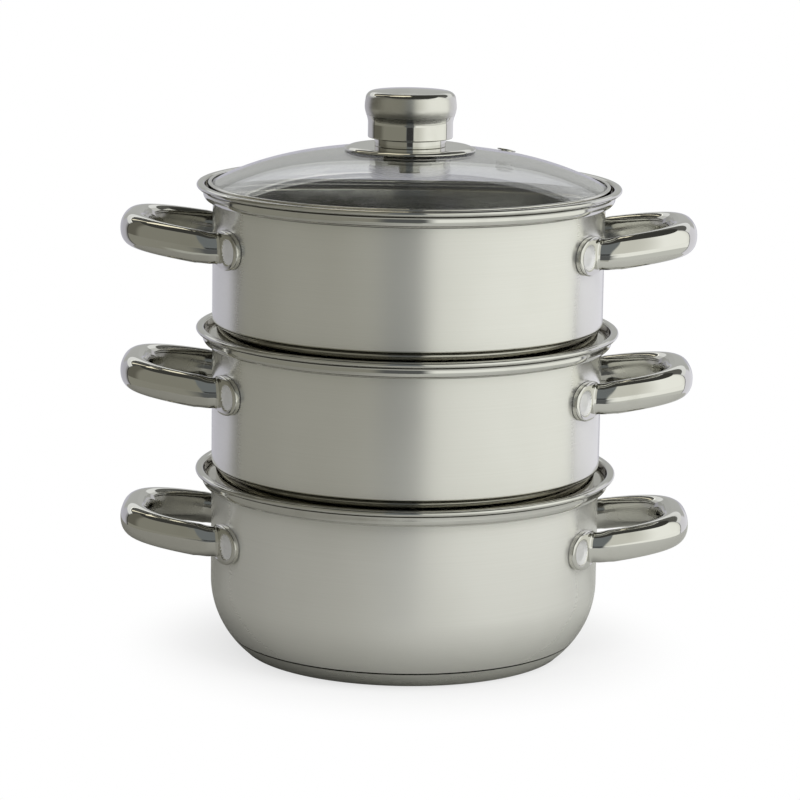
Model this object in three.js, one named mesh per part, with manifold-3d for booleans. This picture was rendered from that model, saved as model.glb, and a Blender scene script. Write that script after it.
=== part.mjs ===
// Three-tier steamer pot: a casserole pan, two perforated steamer tiers and a domed glass lid.
// Sizes are in millimetres. +Z is up and the origin is on the worktop under the middle of the pan.
// The handles stand out along X, and the front of the pot faces -Y.

import * as THREE from 'three';
import { mergeVertices } from 'three/addons/utils/BufferGeometryUtils.js';
import Module from 'manifold-3d';

const wasm = await Module();
wasm.setup();

// Whole stack
const wallRadius = 90;
const sheet = 0.8;
const panHeight = 85.2;
const tierPitch = 66.2;
const seatGap = 0.3;

// Rolled rim and stepped collar, the same on all three vessels
const collarStep = 4.4;
const collarDepth = 7;
const collarBend = 3;
const lipOverhang = 3;
const lipThickness = 2.2;
const lipEase = 1.2;
const ledgeEase = 1;

// Rounded lower wall and sandwich base of the pan
const footRadius = 74.2;
const bowlStart = 32.8;
const innerKnee = 14;
const seamHeight = 7.85;
const seamGap = 0.25;
const coreThickness = 3.6;
const coreClearance = 0.5;
const capSheet = 0.8;
const capEase = 0.5;
const bondGap = 0.3;

// Lower end of a steamer tier, which sits in the collar below it
const shoulderLift = 1.9;
const shoulderBend = 2;
const neckInset = 2;
const beadBend = 1.6;
const beadClearance = 1.4;
const skirtDepth = 5;
const skirtClearance = 0.6;
const skirtBend = 2.4;

// Steam holes in a tier's floor, in rings about the middle
const holeRadius = 2.5;
const holeRingPitch = 22;
const holeRings = 3;
const holesPerRingStep = 6;

// Hollow side handles
const steamerHandleDrop = 26.5;
const panHandleDrop = 29.4;
const handleReach = 42;
const handleRise = 5.5;
const legSpread = 34;
const bendOffset = 15;
const tubeWidth = 13;
const tubeHeight = 15.1;
const tubeWall = 1;
const lobeLength = 23.4;
const lobeHeight = 17.7;
const lobeThickness = 2.5;
const lobeEase = 0.8;
const rootWidth = 8;
const rootHeight = 14;
const rootEase = 0.4;
const weldGap = 0.3;
const bendPower = 3.08;
const sectionPower = 2.3;

// Lid: steel band and glass
const lidClearance = 1.4;
const bandHeight = 7.2;
const bandSheet = 0.6;
const bandLap = 1.7;
const bandFoot = 1.7;
const bandFootLap = 2.4;
const bandEase = 0.5;
const glassGap = 0.3;
const glassThickness = 4;
const glassRise = 16.7;
const glassPower = 2.8;
const glassHoleRadius = 5.5;

// Steam vent in the glass
const ventDistance = 59;
const ventBearing = THREE.MathUtils.degToRad(40);
const ventHoleRadius = 3.1;
const ventTubeRadius = 2.7;
const ventBoreRadius = 2;
const ventFlangeRadius = 4.4;
const ventFlangeThickness = 0.6;
const ventWasherThickness = 0.8;
const ventRollRadius = 3.7;
const ventEase = 0.3;
const ventGap = 0.3;

// Knob and what holds it to the glass
const knobGap = 0.3;
const discRadius = 30.2;
const discThickness = 0.8;
const discDrop = 1.1;
const discShoulderRadius = 18;
const discHoleRadius = 4.6;
const ringRadius = 16.4;
const ringBore = 12;
const ringHeight = 3.2;
const capLowerRadius = 19.4;
const capUpperRadius = 21;
const capLowerHeight = 8.3;
const capStepHeight = 3.8;
const capHeight = 22.2;
const capShoulder = 3.6;
const capDome = 1;
const knobSheet = 0.8;
const coreTopClearance = 1.2;
const knobCoreClearance = 0.3;
const screwRadius = 2;
const screwClearance = 0.3;
const screwReach = 12;
const screwTipClearance = 2;
const screwHeadRadius = 4.8;
const screwHeadHeight = 2.8;
const screwHeadEase = 0.3;
const screwSlotWidth = 1.2;
const screwSlotDepth = 1.2;
const washerRadius = 10;
const washerThickness = 0.8;
const gasketRadius = 12;
const gasketThickness = 1.2;
const gasketCollarRadius = 5.2;

// How finely the round shapes are divided
const vesselSides = 36;
const knobSides = 20;
const smallSides = 12;
const holeSides = 6;
const tubeSides = 12;
const cutOverrun = 2;
const weldTolerance = 1e-4;

// Directions of an arc's ends, with r to the right and z up
const east = 0;
const north = Math.PI / 2;
const west = Math.PI;
const south = -Math.PI / 2;

// Sizes that follow from the ones above
const innerWallRadius = wallRadius - sheet;
const collarRadius = wallRadius + collarStep;
const boreRadius = collarRadius - sheet;
const lipRadius = collarRadius + lipOverhang;

// Finishes
const brushedSteel = new THREE.MeshStandardMaterial({ color: 0xbcbcb4, roughness: 0.38, metalness: 1 });
const polishedSteel = new THREE.MeshStandardMaterial({ color: 0xc9c8bc, roughness: 0.12, metalness: 1 });
const bareAluminium = new THREE.MeshStandardMaterial({ color: 0xc4c6c8, roughness: 0.5, metalness: 1 });
const zincSteel = new THREE.MeshStandardMaterial({ color: 0xb0b2b4, roughness: 0.35, metalness: 1 });
const blackPhenolic = new THREE.MeshStandardMaterial({ color: 0x17171a, roughness: 0.45, metalness: 0 });
const greySilicone = new THREE.MeshStandardMaterial({ color: 0xc8cacb, roughness: 0.7, metalness: 0 });
const clearGlass = new THREE.MeshStandardMaterial({
  color: 0xdfe8e6,
  roughness: 0.05,
  metalness: 0,
  transparent: true,
  opacity: 0.35,
});

// A point of an outline
function at(r, z) {
  return new THREE.Vector2(r, z);
}

// Points along an arc about a centre, with both ends
function arc(r, z, radius, from, to, steps) {
  return Array.from({ length: steps + 1 }, (_, i) => {
    const angle = from + ((to - from) * i) / steps;
    return at(r + radius * Math.cos(angle), z + radius * Math.sin(angle));
  });
}

// Geometry with merged corners, no sliver triangles and nothing but positions
function cleaned(geometry) {
  const bare = geometry.clone();
  bare.deleteAttribute('normal');
  bare.deleteAttribute('uv');
  const merged = mergeVertices(bare, weldTolerance);
  const corners = merged.index.array;
  const kept = [];
  for (let i = 0; i < corners.length; i += 3) {
    const [a, b, c] = [corners[i], corners[i + 1], corners[i + 2]];
    if (a !== b && b !== c && c !== a) {
      kept.push(a, b, c);
    }
  }
  merged.setIndex(kept);
  return merged;
}

// Outline turned about Z. It runs outwards, up the outside and back down the inside.
function turned(outline, sides) {
  const lathe = new THREE.LatheGeometry(outline, sides);
  lathe.rotateX(Math.PI / 2);
  return cleaned(lathe);
}

// Outline closed on itself and turned about Z, for a piece with a hole on its axis
function turnedRing(outline, sides) {
  return turned([...outline, outline[0].clone()], sides);
}

function toSolid(geometry) {
  return new wasm.Manifold(new wasm.Mesh({
    numProp: 3,
    vertProperties: new Float32Array(geometry.attributes.position.array),
    triVerts: new Uint32Array(geometry.index.array),
  }));
}

function fromSolid(solid) {
  const mesh = solid.getMesh();
  const geometry = new THREE.BufferGeometry();
  geometry.setAttribute('position', new THREE.BufferAttribute(mesh.vertProperties, 3));
  geometry.setIndex(new THREE.BufferAttribute(mesh.triVerts, 1));
  return geometry;
}

// Cylinder along Z between two heights, for cutting
function pin(radius, low, high, sides) {
  const cylinder = new THREE.CylinderGeometry(radius, radius, high - low, sides);
  cylinder.rotateX(Math.PI / 2);
  cylinder.translate(0, 0, (low + high) / 2);
  return cleaned(cylinder);
}

function piece(name, geometry, material) {
  const mesh = new THREE.Mesh(geometry, material);
  mesh.name = name;
  return mesh;
}

// Rim from the outside of the wall, over the rolled lip, down the collar to the inside of the wall
function rimOutline(top) {
  const ledge = top - collarDepth;
  const bendRadius = collarRadius - collarBend;
  const bendHeight = ledge - sheet + collarBend;
  const lipHalf = lipThickness / 2;
  return [
    at(wallRadius, ledge - sheet),
    ...arc(bendRadius, bendHeight, collarBend, south, east, 2),
    at(collarRadius, top - lipThickness),
    ...arc(lipRadius - lipHalf, top - lipHalf, lipHalf, south, north, 4),
    ...arc(boreRadius + lipEase, top - lipEase, lipEase, north, west, 2),
    ...arc(bendRadius, bendHeight, collarBend - sheet, east, south, 2),
    ...arc(innerWallRadius + ledgeEase, ledge - ledgeEase, ledgeEase, north, west, 1),
  ];
}

// Bowl arc of the pan's lower wall: it leaves the wall at bowlStart and reaches the worktop at footRadius
const bowlInset = wallRadius - footRadius;
const bowlRadius = (bowlInset ** 2 + bowlStart ** 2) / (2 * bowlInset);
const bowlMiddle = wallRadius - bowlRadius;

// Angle at which a bowl arc, drawn in by an inset, stands at a height
function bowlAngle(height, inset) {
  return -Math.asin((bowlStart - height) / (bowlRadius - inset));
}

function bowlArc(inset, from, to, steps) {
  return arc(bowlMiddle, bowlStart, bowlRadius - inset, from, to, steps);
}

// Distance from the axis to a bowl arc, drawn in by an inset, at a height
function bowlReach(height, inset) {
  return bowlMiddle + (bowlRadius - inset) * Math.cos(bowlAngle(height, inset));
}

// Levels of the base, from the worktop up
const coreLow = capSheet + bondGap;
const shellBase = coreLow + coreThickness + bondGap;
const panFloor = shellBase + sheet;

// Deep-drawn pan with its stepped rim. Under the seam it is drawn in to take the base cap.
function panShell() {
  const drawn = capSheet + bondGap;
  const baseAngle = bowlAngle(shellBase, drawn);
  const kneeHeight = panFloor + innerKnee;
  const kneeReach = bowlRadius - sheet - innerKnee;
  const kneeRadius = bowlMiddle + Math.sqrt(kneeReach ** 2 - (bowlStart - kneeHeight) ** 2);
  const kneeAngle = -Math.atan2(bowlStart - kneeHeight, kneeRadius - bowlMiddle);
  return turned([
    at(0, shellBase),
    ...bowlArc(drawn, baseAngle, bowlAngle(seamHeight, drawn), 1),
    ...bowlArc(0, bowlAngle(seamHeight, 0), east, 5),
    ...rimOutline(panHeight),
    ...bowlArc(sheet, east, kneeAngle, 3),
    ...arc(kneeRadius, kneeHeight, innerKnee, kneeAngle, south, 3),
    at(0, panFloor),
  ], vesselSides);
}

// Stainless cap that closes the base and meets the pan's wall at the seam
function panBaseCap() {
  const low = bowlAngle(capEase, 0);
  const innerLow = bowlAngle(capSheet, capSheet);
  const top = seamHeight - seamGap;
  return turned([
    at(0, 0),
    at(bowlReach(capEase, 0) - capEase, 0),
    ...bowlArc(0, low, bowlAngle(top, 0), 3),
    ...bowlArc(capSheet, bowlAngle(top, capSheet), innerLow, 2),
    at(0, capSheet),
  ], vesselSides);
}

// Aluminium heat-spreading disc inside the base
function panBaseCore() {
  const radius = bowlReach(coreLow, capSheet) - coreClearance;
  return pin(radius, coreLow, coreLow + coreThickness, vesselSides);
}

// Seating planes, as heights above the rim that carries them
const seatLevel = seatGap - collarDepth;

// Steamer tier, with its seat bead's underside at z = 0
const tierTop = tierPitch - seatLevel;
const beadRadius = boreRadius - beadClearance;
const skirtRadius = innerWallRadius - skirtClearance;
const neckRadius = wallRadius - neckInset;
const shoulderLow = shoulderLift - seatLevel;

function tierShell() {
  const beadMiddle = beadRadius - beadBend;
  const floorTop = sheet - skirtDepth;
  const bendMiddle = skirtRadius - skirtBend;
  const bendHeight = skirtBend - skirtDepth;
  const innerNeck = neckRadius - sheet;
  const innerSkirt = skirtRadius - sheet;
  return turned([
    at(0, -skirtDepth),
    ...arc(bendMiddle, bendHeight, skirtBend, south, east, 2),
    at(skirtRadius, 0),
    ...arc(beadMiddle, beadBend, beadBend, south, north, 3),
    at(neckRadius, 2 * beadBend),
    ...arc(neckRadius, shoulderLow + shoulderBend, shoulderBend, south, east, 2),
    ...rimOutline(tierTop),
    at(innerWallRadius, shoulderLow + shoulderBend),
    at(innerNeck, shoulderLow + sheet),
    at(innerNeck, 2 * beadBend - sheet),
    ...arc(beadMiddle, beadBend, beadBend - sheet, north, south, 2),
    at(innerSkirt, sheet),
    ...arc(bendMiddle, bendHeight, skirtBend - sheet, east, south, 1),
    at(0, floorTop),
  ], vesselSides);
}

// One steam hole in the middle, then rings that each hold a step more than the last
function steamHoles() {
  const places = [at(0, 0)];
  for (let ring = 1; ring <= holeRings; ring += 1) {
    const count = ring * holesPerRingStep;
    for (let i = 0; i < count; i += 1) {
      const angle = (2 * Math.PI * i) / count;
      places.push(at(ring * holeRingPitch * Math.cos(angle), ring * holeRingPitch * Math.sin(angle)));
    }
  }
  const cutter = pin(holeRadius, -skirtDepth - cutOverrun, sheet - skirtDepth + cutOverrun, holeSides);
  return places.map((place) => toSolid(cutter.clone().translate(place.x, place.y, 0)));
}

function perforatedTier() {
  return fromSolid(steamHoles().reduce((tier, hole) => tier.subtract(hole), toSolid(tierShell())));
}

// One ring of points round a handle: a rounded section, laid on a cylinder about Z where wrap is given
function handleRing({ middle, across, halfWidth, halfHeight, wrap }) {
  const points = [];
  for (let i = 0; i < tubeSides; i += 1) {
    const angle = (2 * Math.PI * i) / tubeSides;
    const side = Math.sign(Math.cos(angle)) * Math.abs(Math.cos(angle)) ** (2 / sectionPower);
    const rise = Math.sign(Math.sin(angle)) * Math.abs(Math.sin(angle)) ** (2 / sectionPower);
    const point = middle.clone().addScaledVector(across, side * halfWidth);
    if (wrap) {
      const scale = wrap / Math.hypot(point.x, point.y);
      point.x *= scale;
      point.y *= scale;
    }
    point.z += rise * halfHeight;
    points.push(point);
  }
  return points;
}

// Rings joined one to the next and the last to the first, as one closed skin
function skinOf(rings) {
  const count = rings[0].length;
  const corner = (ring, i) => (ring % rings.length) * count + (i % count);
  const index = [];
  for (let ring = 0; ring < rings.length; ring += 1) {
    for (let i = 0; i < count; i += 1) {
      const [a, b] = [corner(ring, i), corner(ring, i + 1)];
      const [c, d] = [corner(ring + 1, i), corner(ring + 1, i + 1)];
      index.push(a, c, b, b, c, d);
    }
  }
  const geometry = new THREE.BufferGeometry().setFromPoints(rings.flat());
  geometry.setIndex(index);
  return geometry;
}

// Stations of the bent tube's centre line from the wall to the tip, as angles of its rounded plan
const tubeAngles = [75, 60, 45, 30, 15, 0].map(THREE.MathUtils.degToRad);
const firstSwellShare = 0.8;
const tipRadius = wallRadius + handleReach - tubeWidth / 2;
const bendMiddleX = wallRadius - bendOffset;

function tubeStation(angle, index) {
  const reach = Math.cos(angle) ** (2 / bendPower);
  const spread = Math.sin(angle) ** (2 / bendPower);
  const length = tipRadius - bendMiddleX;
  const middle = new THREE.Vector3(bendMiddleX + length * reach, -legSpread * spread, 0);
  middle.z = (handleRise * (middle.x - wallRadius)) / (tipRadius - wallRadius);
  const outwards = reach ** (bendPower - 1) / length;
  const sideways = -(spread ** (bendPower - 1)) / legSpread;
  const swell = index === 0 ? firstSwellShare : 1;
  return {
    middle,
    across: new THREE.Vector3(outwards, sideways, 0).normalize(),
    halfWidth: (swell * tubeWidth) / 2,
    halfHeight: tubeHeight / 2,
  };
}

// Station on the wall whose inner side lies level with the inside of the handle's leg
function footStation(wrap, width, height) {
  const innerSide = legSpread - tubeWidth / 2;
  const angle = -Math.asin(innerSide / wrap) - width / 2 / wrap;
  return {
    middle: new THREE.Vector3(wrap * Math.cos(angle), wrap * Math.sin(angle), 0),
    across: new THREE.Vector3(Math.sin(angle), -Math.cos(angle), 0),
    halfWidth: width / 2,
    halfHeight: height / 2,
    wrap,
  };
}

function inset(station) {
  return {
    ...station,
    halfWidth: station.halfWidth - tubeWall,
    halfHeight: station.halfHeight - tubeWall,
  };
}

function mirrored(station) {
  const flip = new THREE.Vector3(1, -1, 1);
  return {
    ...station,
    middle: station.middle.clone().multiply(flip),
    across: station.across.clone().multiply(flip),
  };
}

// Bent hollow tube whose feet spread into lobes on the wall, open at both ends
function handleSkin() {
  const wall = wallRadius + weldGap;
  const face = wall + lobeThickness;
  const tube = tubeAngles.map(tubeStation);
  const root = footStation(face + rootEase, rootWidth, rootHeight);
  const outer = [
    footStation(wall, lobeLength, lobeHeight),
    footStation(face, lobeLength - lobeEase, lobeHeight - lobeEase),
    root,
    ...tube,
  ];
  const inner = [footStation(wall, rootWidth, rootHeight), root, ...tube].map(inset);
  const bothWays = (half) => [...half, ...half.slice(0, -1).reverse().map(mirrored)];
  return skinOf([...bothWays(outer), ...bothWays(inner).reverse()].map(handleRing));
}

function handlePair(tier, lipHeight, drop) {
  return [['right', 0], ['left', Math.PI]].map(([side, turn]) => {
    const handle = piece(`${tier}_handle_${side}`, handleSkin(), polishedSteel);
    handle.position.z = lipHeight - drop;
    handle.rotation.z = turn;
    return handle;
  });
}

// Lid, with the underside of its band at z = 0
const bandRadius = boreRadius - lidClearance;
const glassRadius = bandRadius - bandSheet - glassGap;
const glassEdgeTop = bandFoot + glassGap + glassThickness;
const glassApex = glassEdgeTop + glassRise;

// Height of the glass's upper face at a distance from the middle
function glassHeight(r) {
  return glassEdgeTop + glassRise * (1 - (r / glassRadius) ** glassPower);
}

const glassShares = [1, 0.9, 0.78, 0.64, 0.5, 0.34, 0.18];

function lidGlass() {
  const radii = [...glassShares.map((share) => share * glassRadius), glassHoleRadius];
  const upper = radii.map((r) => at(r, glassHeight(r)));
  const lower = radii.map((r) => at(r, glassHeight(r) - glassThickness));
  const dome = toSolid(turnedRing([...lower.reverse(), ...upper], vesselSides));
  const hole = pin(ventHoleRadius, -glassThickness - cutOverrun, cutOverrun, smallSides);
  const frame = ventFrame();
  frame.updateMatrix();
  return fromSolid(dome.subtract(toSolid(hole.applyMatrix4(frame.matrix))));
}

// Steel band folded round the edge of the glass
function lidBand() {
  const top = bandHeight;
  const inner = bandRadius - bandSheet;
  return turnedRing([
    at(bandRadius - bandFootLap, 0),
    at(bandRadius - bandEase, 0),
    at(bandRadius, bandEase),
    at(bandRadius, top - bandEase),
    at(bandRadius - bandEase, top),
    at(bandRadius - bandLap, top),
    at(bandRadius - bandLap, top - bandSheet),
    at(inner, top - bandSheet),
    at(inner, bandFoot),
    at(bandRadius - bandFootLap, bandFoot),
  ], vesselSides);
}

// Place of the steam vent, square to the glass
function ventFrame() {
  const slope = (glassRise * glassPower * (ventDistance / glassRadius) ** (glassPower - 1)) / glassRadius;
  const frame = new THREE.Group();
  frame.position.set(
    ventDistance * Math.cos(ventBearing),
    ventDistance * Math.sin(ventBearing),
    glassHeight(ventDistance),
  );
  frame.rotation.set(0, Math.atan(slope), ventBearing, 'ZYX');
  return frame;
}

// Eyelet through the glass: a flange above, a tube, and a rolled end below the washer
function ventEyelet() {
  const washerLow = -glassThickness - ventGap - ventWasherThickness;
  const rollTop = washerLow - ventGap;
  const rollLow = rollTop - ventFlangeThickness;
  return turnedRing([
    at(ventBoreRadius, rollLow),
    at(ventRollRadius, rollLow),
    at(ventRollRadius, rollTop),
    at(ventTubeRadius, rollTop),
    at(ventTubeRadius, ventGap),
    at(ventFlangeRadius, ventGap),
    at(ventFlangeRadius - ventEase, ventGap + ventFlangeThickness),
    at(ventBoreRadius, ventGap + ventFlangeThickness),
  ], smallSides);
}

function ventWasher() {
  const top = -glassThickness - ventGap;
  return turnedRing([
    at(ventTubeRadius + ventGap, top - ventWasherThickness),
    at(ventFlangeRadius, top - ventWasherThickness),
    at(ventFlangeRadius, top),
    at(ventTubeRadius + ventGap, top),
  ], smallSides);
}

// Levels of the knob's stack above the glass, then of its fixing below the glass
const discTop = glassHeight(discRadius) + knobGap + discThickness + discDrop;
const ringLow = discTop + knobGap;
const capLow = ringLow + ringHeight + knobGap;
const knobTop = capLow + capHeight;
const gasketTop = glassApex - glassThickness - knobGap;
const washerTop = gasketTop - gasketThickness - knobGap;
const headTop = washerTop - washerThickness - knobGap;
const shankTop = capLow + screwReach;

// Wide polished disc that spreads the knob's pull over the glass
function knobDisc() {
  const edgeTop = discTop - discDrop;
  return turnedRing([
    at(discHoleRadius, discTop - discThickness),
    at(discShoulderRadius, discTop - discThickness),
    at(discRadius - discThickness, edgeTop - discThickness),
    at(discRadius, edgeTop - discThickness / 2),
    at(discRadius - discThickness, edgeTop),
    at(discShoulderRadius, discTop),
    at(discHoleRadius, discTop),
  ], knobSides);
}

function knobRing() {
  return turnedRing([
    at(ringBore, ringLow),
    at(ringRadius, ringLow),
    at(ringRadius, ringLow + ringHeight),
    at(ringBore, ringLow + ringHeight),
  ], knobSides);
}

// Spun cap of the knob: a narrower lower part, a sloped step and a rounded top
function knobCap() {
  const stepLow = capLow + capLowerHeight;
  const stepTop = stepLow + capStepHeight;
  const side = knobTop - capDome - capShoulder;
  const topRadius = capUpperRadius - capShoulder;
  return turned([
    at(capLowerRadius - knobSheet, capLow),
    at(capLowerRadius, capLow),
    at(capLowerRadius, stepLow),
    at(capUpperRadius, stepTop),
    ...arc(topRadius, side, capShoulder, east, north, 3),
    at(0, knobTop),
    at(0, knobTop - knobSheet),
    ...arc(topRadius, side, capShoulder - knobSheet, north, east, 2),
    at(capUpperRadius - knobSheet, stepTop),
    at(capLowerRadius - knobSheet, stepLow),
    at(capLowerRadius - knobSheet, capLow),
  ], knobSides);
}

// Moulded core inside the cap, with the blind hole that the screw bites into
function knobCore() {
  const radius = capLowerRadius - knobSheet - knobCoreClearance;
  const top = knobTop - capDome - knobSheet - coreTopClearance;
  const narrow = radius - capShoulder;
  const hole = screwRadius + screwClearance;
  return turned([
    at(hole, capLow),
    at(radius, capLow),
    at(radius, top - capShoulder),
    at(narrow, top),
    at(0, top),
    at(0, shankTop + screwTipClearance),
    at(hole, shankTop + screwTipClearance),
    at(hole, capLow),
  ], knobSides);
}

// Slotted machine screw that pulls the knob down on the glass
function knobScrew() {
  const headLow = headTop - screwHeadHeight;
  const body = toSolid(turned([
    at(0, headLow),
    at(screwHeadRadius - screwHeadEase, headLow),
    at(screwHeadRadius, headTop),
    at(screwRadius, headTop),
    at(screwRadius, shankTop - screwRadius / 2),
    at(screwRadius / 2, shankTop),
    at(0, shankTop),
  ], smallSides));
  const slotLength = 2 * (screwHeadRadius + cutOverrun);
  const slot = new THREE.BoxGeometry(slotLength, screwSlotWidth, 2 * screwSlotDepth);
  slot.translate(0, 0, headLow);
  return fromSolid(body.subtract(toSolid(cleaned(slot))));
}

function knobWasher() {
  return turnedRing([
    at(screwRadius + screwClearance, washerTop - washerThickness),
    at(washerRadius, washerTop - washerThickness),
    at(washerRadius, washerTop),
    at(screwRadius + screwClearance, washerTop),
  ], knobSides);
}

// Silicone gasket with a collar that keeps the screw off the glass
function knobGasket() {
  const hole = screwRadius + screwClearance;
  return turnedRing([
    at(hole, gasketTop - gasketThickness),
    at(gasketRadius, gasketTop - gasketThickness),
    at(gasketRadius, gasketTop),
    at(gasketCollarRadius, gasketTop),
    at(gasketCollarRadius, glassApex),
    at(hole, glassApex),
  ], knobSides);
}

function lidPieces() {
  const vent = ventFrame();
  vent.add(piece('lid_vent_eyelet', ventEyelet(), polishedSteel));
  vent.add(piece('lid_vent_washer', ventWasher(), zincSteel));
  return [
    piece('lid_glass', lidGlass(), clearGlass),
    piece('lid_rim_band', lidBand(), polishedSteel),
    vent,
    piece('knob_disc', knobDisc(), polishedSteel),
    piece('knob_neck_ring', knobRing(), polishedSteel),
    piece('knob_cap', knobCap(), polishedSteel),
    piece('knob_core', knobCore(), blackPhenolic),
    piece('knob_screw', knobScrew(), zincSteel),
    piece('knob_washer', knobWasher(), zincSteel),
    piece('knob_gasket', knobGasket(), greySilicone),
  ];
}

// Assembly
const pan = new THREE.Group();
pan.add(
  piece('pan_shell', panShell(), brushedSteel),
  piece('pan_base_core', panBaseCore(), bareAluminium),
  piece('pan_base_cap', panBaseCap(), brushedSteel),
  ...handlePair('pan', panHeight, panHandleDrop),
);

function steamerTier(name, rimBelow) {
  const tier = new THREE.Group();
  tier.position.z = rimBelow + seatLevel;
  tier.add(
    piece(`${name}_steamer_shell`, perforatedTier(), brushedSteel),
    ...handlePair(name, tierTop, steamerHandleDrop),
  );
  return tier;
}

const lid = new THREE.Group();
lid.position.z = panHeight + 2 * tierPitch + seatLevel;
lid.add(...lidPieces());

const steamerPot = new THREE.Group();
steamerPot.add(
  pan,
  steamerTier('middle', panHeight),
  steamerTier('top', panHeight + tierPitch),
  lid,
);

export default steamerPot;
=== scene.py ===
"""Looks of a three-tier steamer pot: stacked steel vessels, welded handles and a domed glass lid.

Lengths are in metres and angles in radians unless a name says otherwise. +Z is up, the front of the pot
faces -Y and its handles stand out along X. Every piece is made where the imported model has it.
"""

import logging
import math
from dataclasses import dataclass, replace
from enum import Enum, IntEnum
from typing import Optional, Sequence, Union

import bmesh
import bpy
from mathutils import Matrix, Quaternion, Vector
from mathutils.geometry import delaunay_2d_cdt


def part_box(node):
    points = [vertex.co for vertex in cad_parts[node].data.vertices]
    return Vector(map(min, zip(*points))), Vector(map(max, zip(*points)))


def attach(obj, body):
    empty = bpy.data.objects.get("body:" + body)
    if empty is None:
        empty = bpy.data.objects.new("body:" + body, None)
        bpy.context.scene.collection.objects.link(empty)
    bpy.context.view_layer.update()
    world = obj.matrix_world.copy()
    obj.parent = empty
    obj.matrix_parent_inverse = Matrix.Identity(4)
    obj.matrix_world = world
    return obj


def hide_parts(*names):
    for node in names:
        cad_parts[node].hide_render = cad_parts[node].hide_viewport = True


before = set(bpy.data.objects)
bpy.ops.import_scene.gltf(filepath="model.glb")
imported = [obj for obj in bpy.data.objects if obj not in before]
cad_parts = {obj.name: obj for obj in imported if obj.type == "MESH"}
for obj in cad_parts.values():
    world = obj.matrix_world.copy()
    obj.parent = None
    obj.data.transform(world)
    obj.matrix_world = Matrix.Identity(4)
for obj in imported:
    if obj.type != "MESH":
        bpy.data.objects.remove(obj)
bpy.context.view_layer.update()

log = logging.getLogger("steamer_pot")

Point = tuple[float, float]
Colour = tuple[float, float, float]
Object = bpy.types.Object

MM = 0.001
EAST = 0.0
NORTH = math.pi / 2
WEST = math.pi
SOUTH = -math.pi / 2
MERGE = 1e-7
HOLD = 0.2 * MM
LONG_STRETCH = 2.9 * MM
CREASE = math.radians(32)
FACES_UP = 0.7
FACES_DOWN = -0.3
STANDS_UPRIGHT = 0.5


class Slot(Enum):
    """Material slots of the record, one noted with each new piece."""

    BRUSHED = "brushed_steel"
    POLISHED = "polished_steel"
    ZINC = "zinc_steel"
    SILICONE = "grey_silicone"
    GLASS = "clear_glass"


class Coat(IntEnum):
    """Finishes of a vessel's shell, three of them darkened with painted shade, in the order of its
    materials.
    """

    WALL = 0
    RIM = 1
    # duller steel whose darker colour is painted shade
    INSIDE = 2
    # painted shade where a tier sits in the collar below
    SEAT = 3
    # painted shade in the creases under the collar and the lip and in the pan's seam
    GROOVE = 4


class GripCoat(IntEnum):
    """Finishes of a handle, in the order of its materials; the weld's has a painted highlight and the inner
    one painted shade.
    """

    POLISH = 0
    # matt, with a painted highlight in its near-white colour
    WELD = 1
    # less polished, with painted shade inside the loop
    INNER = 2


class CapCoat(IntEnum):
    """Finishes of the knob's cap, in the order of its materials."""

    SPUN = 0
    CROWN = 1


class Side(Enum):
    """Side of the pot that a handle stands on, with its turn about Z."""

    RIGHT = 0.0
    LEFT = math.pi


def arc(centre: Point, radius: float, start: float, end: float, steps: int) -> list[Point]:
    """Points along an arc, with both ends.

    Args:
        centre: Middle of the arc, as distance from the axis and height.
        radius: Radius of the arc.
        start: Angle of the first point.
        end: Angle of the last point.
        steps: Number of chords.

    Returns:
        The points, one more than the chords.
    """
    angles = (start + (end - start) * i / steps for i in range(steps + 1))
    return [(centre[0] + radius * math.cos(a), centre[1] + radius * math.sin(a)) for a in angles]


def blend(a: float, b: float, share: float) -> float:
    """Value that lies a share of the way from a to b."""
    return a + (b - a) * share


def eased(share: float) -> float:
    """Share from 0 to 1 that starts and ends gently."""
    kept = min(max(share, 0.0), 1.0)
    return kept * kept * (3 - 2 * kept)


def curve(start: Vector, leave: Vector, end: Vector, arrive: Vector, share: float) -> Vector:
    """Point on a smooth curve between two places.

    Args:
        start: Place where the curve starts.
        leave: Direction in which it leaves there, as long as its pull.
        end: Place where the curve ends.
        arrive: Direction in which it arrives there, as long as its pull.
        share: Share of the way from the start.

    Returns:
        The point.
    """
    square, cube = share ** 2, share ** 3
    place = start * (2 * cube - 3 * square + 1) + leave * (cube - 2 * square + share)
    return place + end * (3 * square - 2 * cube) + arrive * (cube - square)


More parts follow.
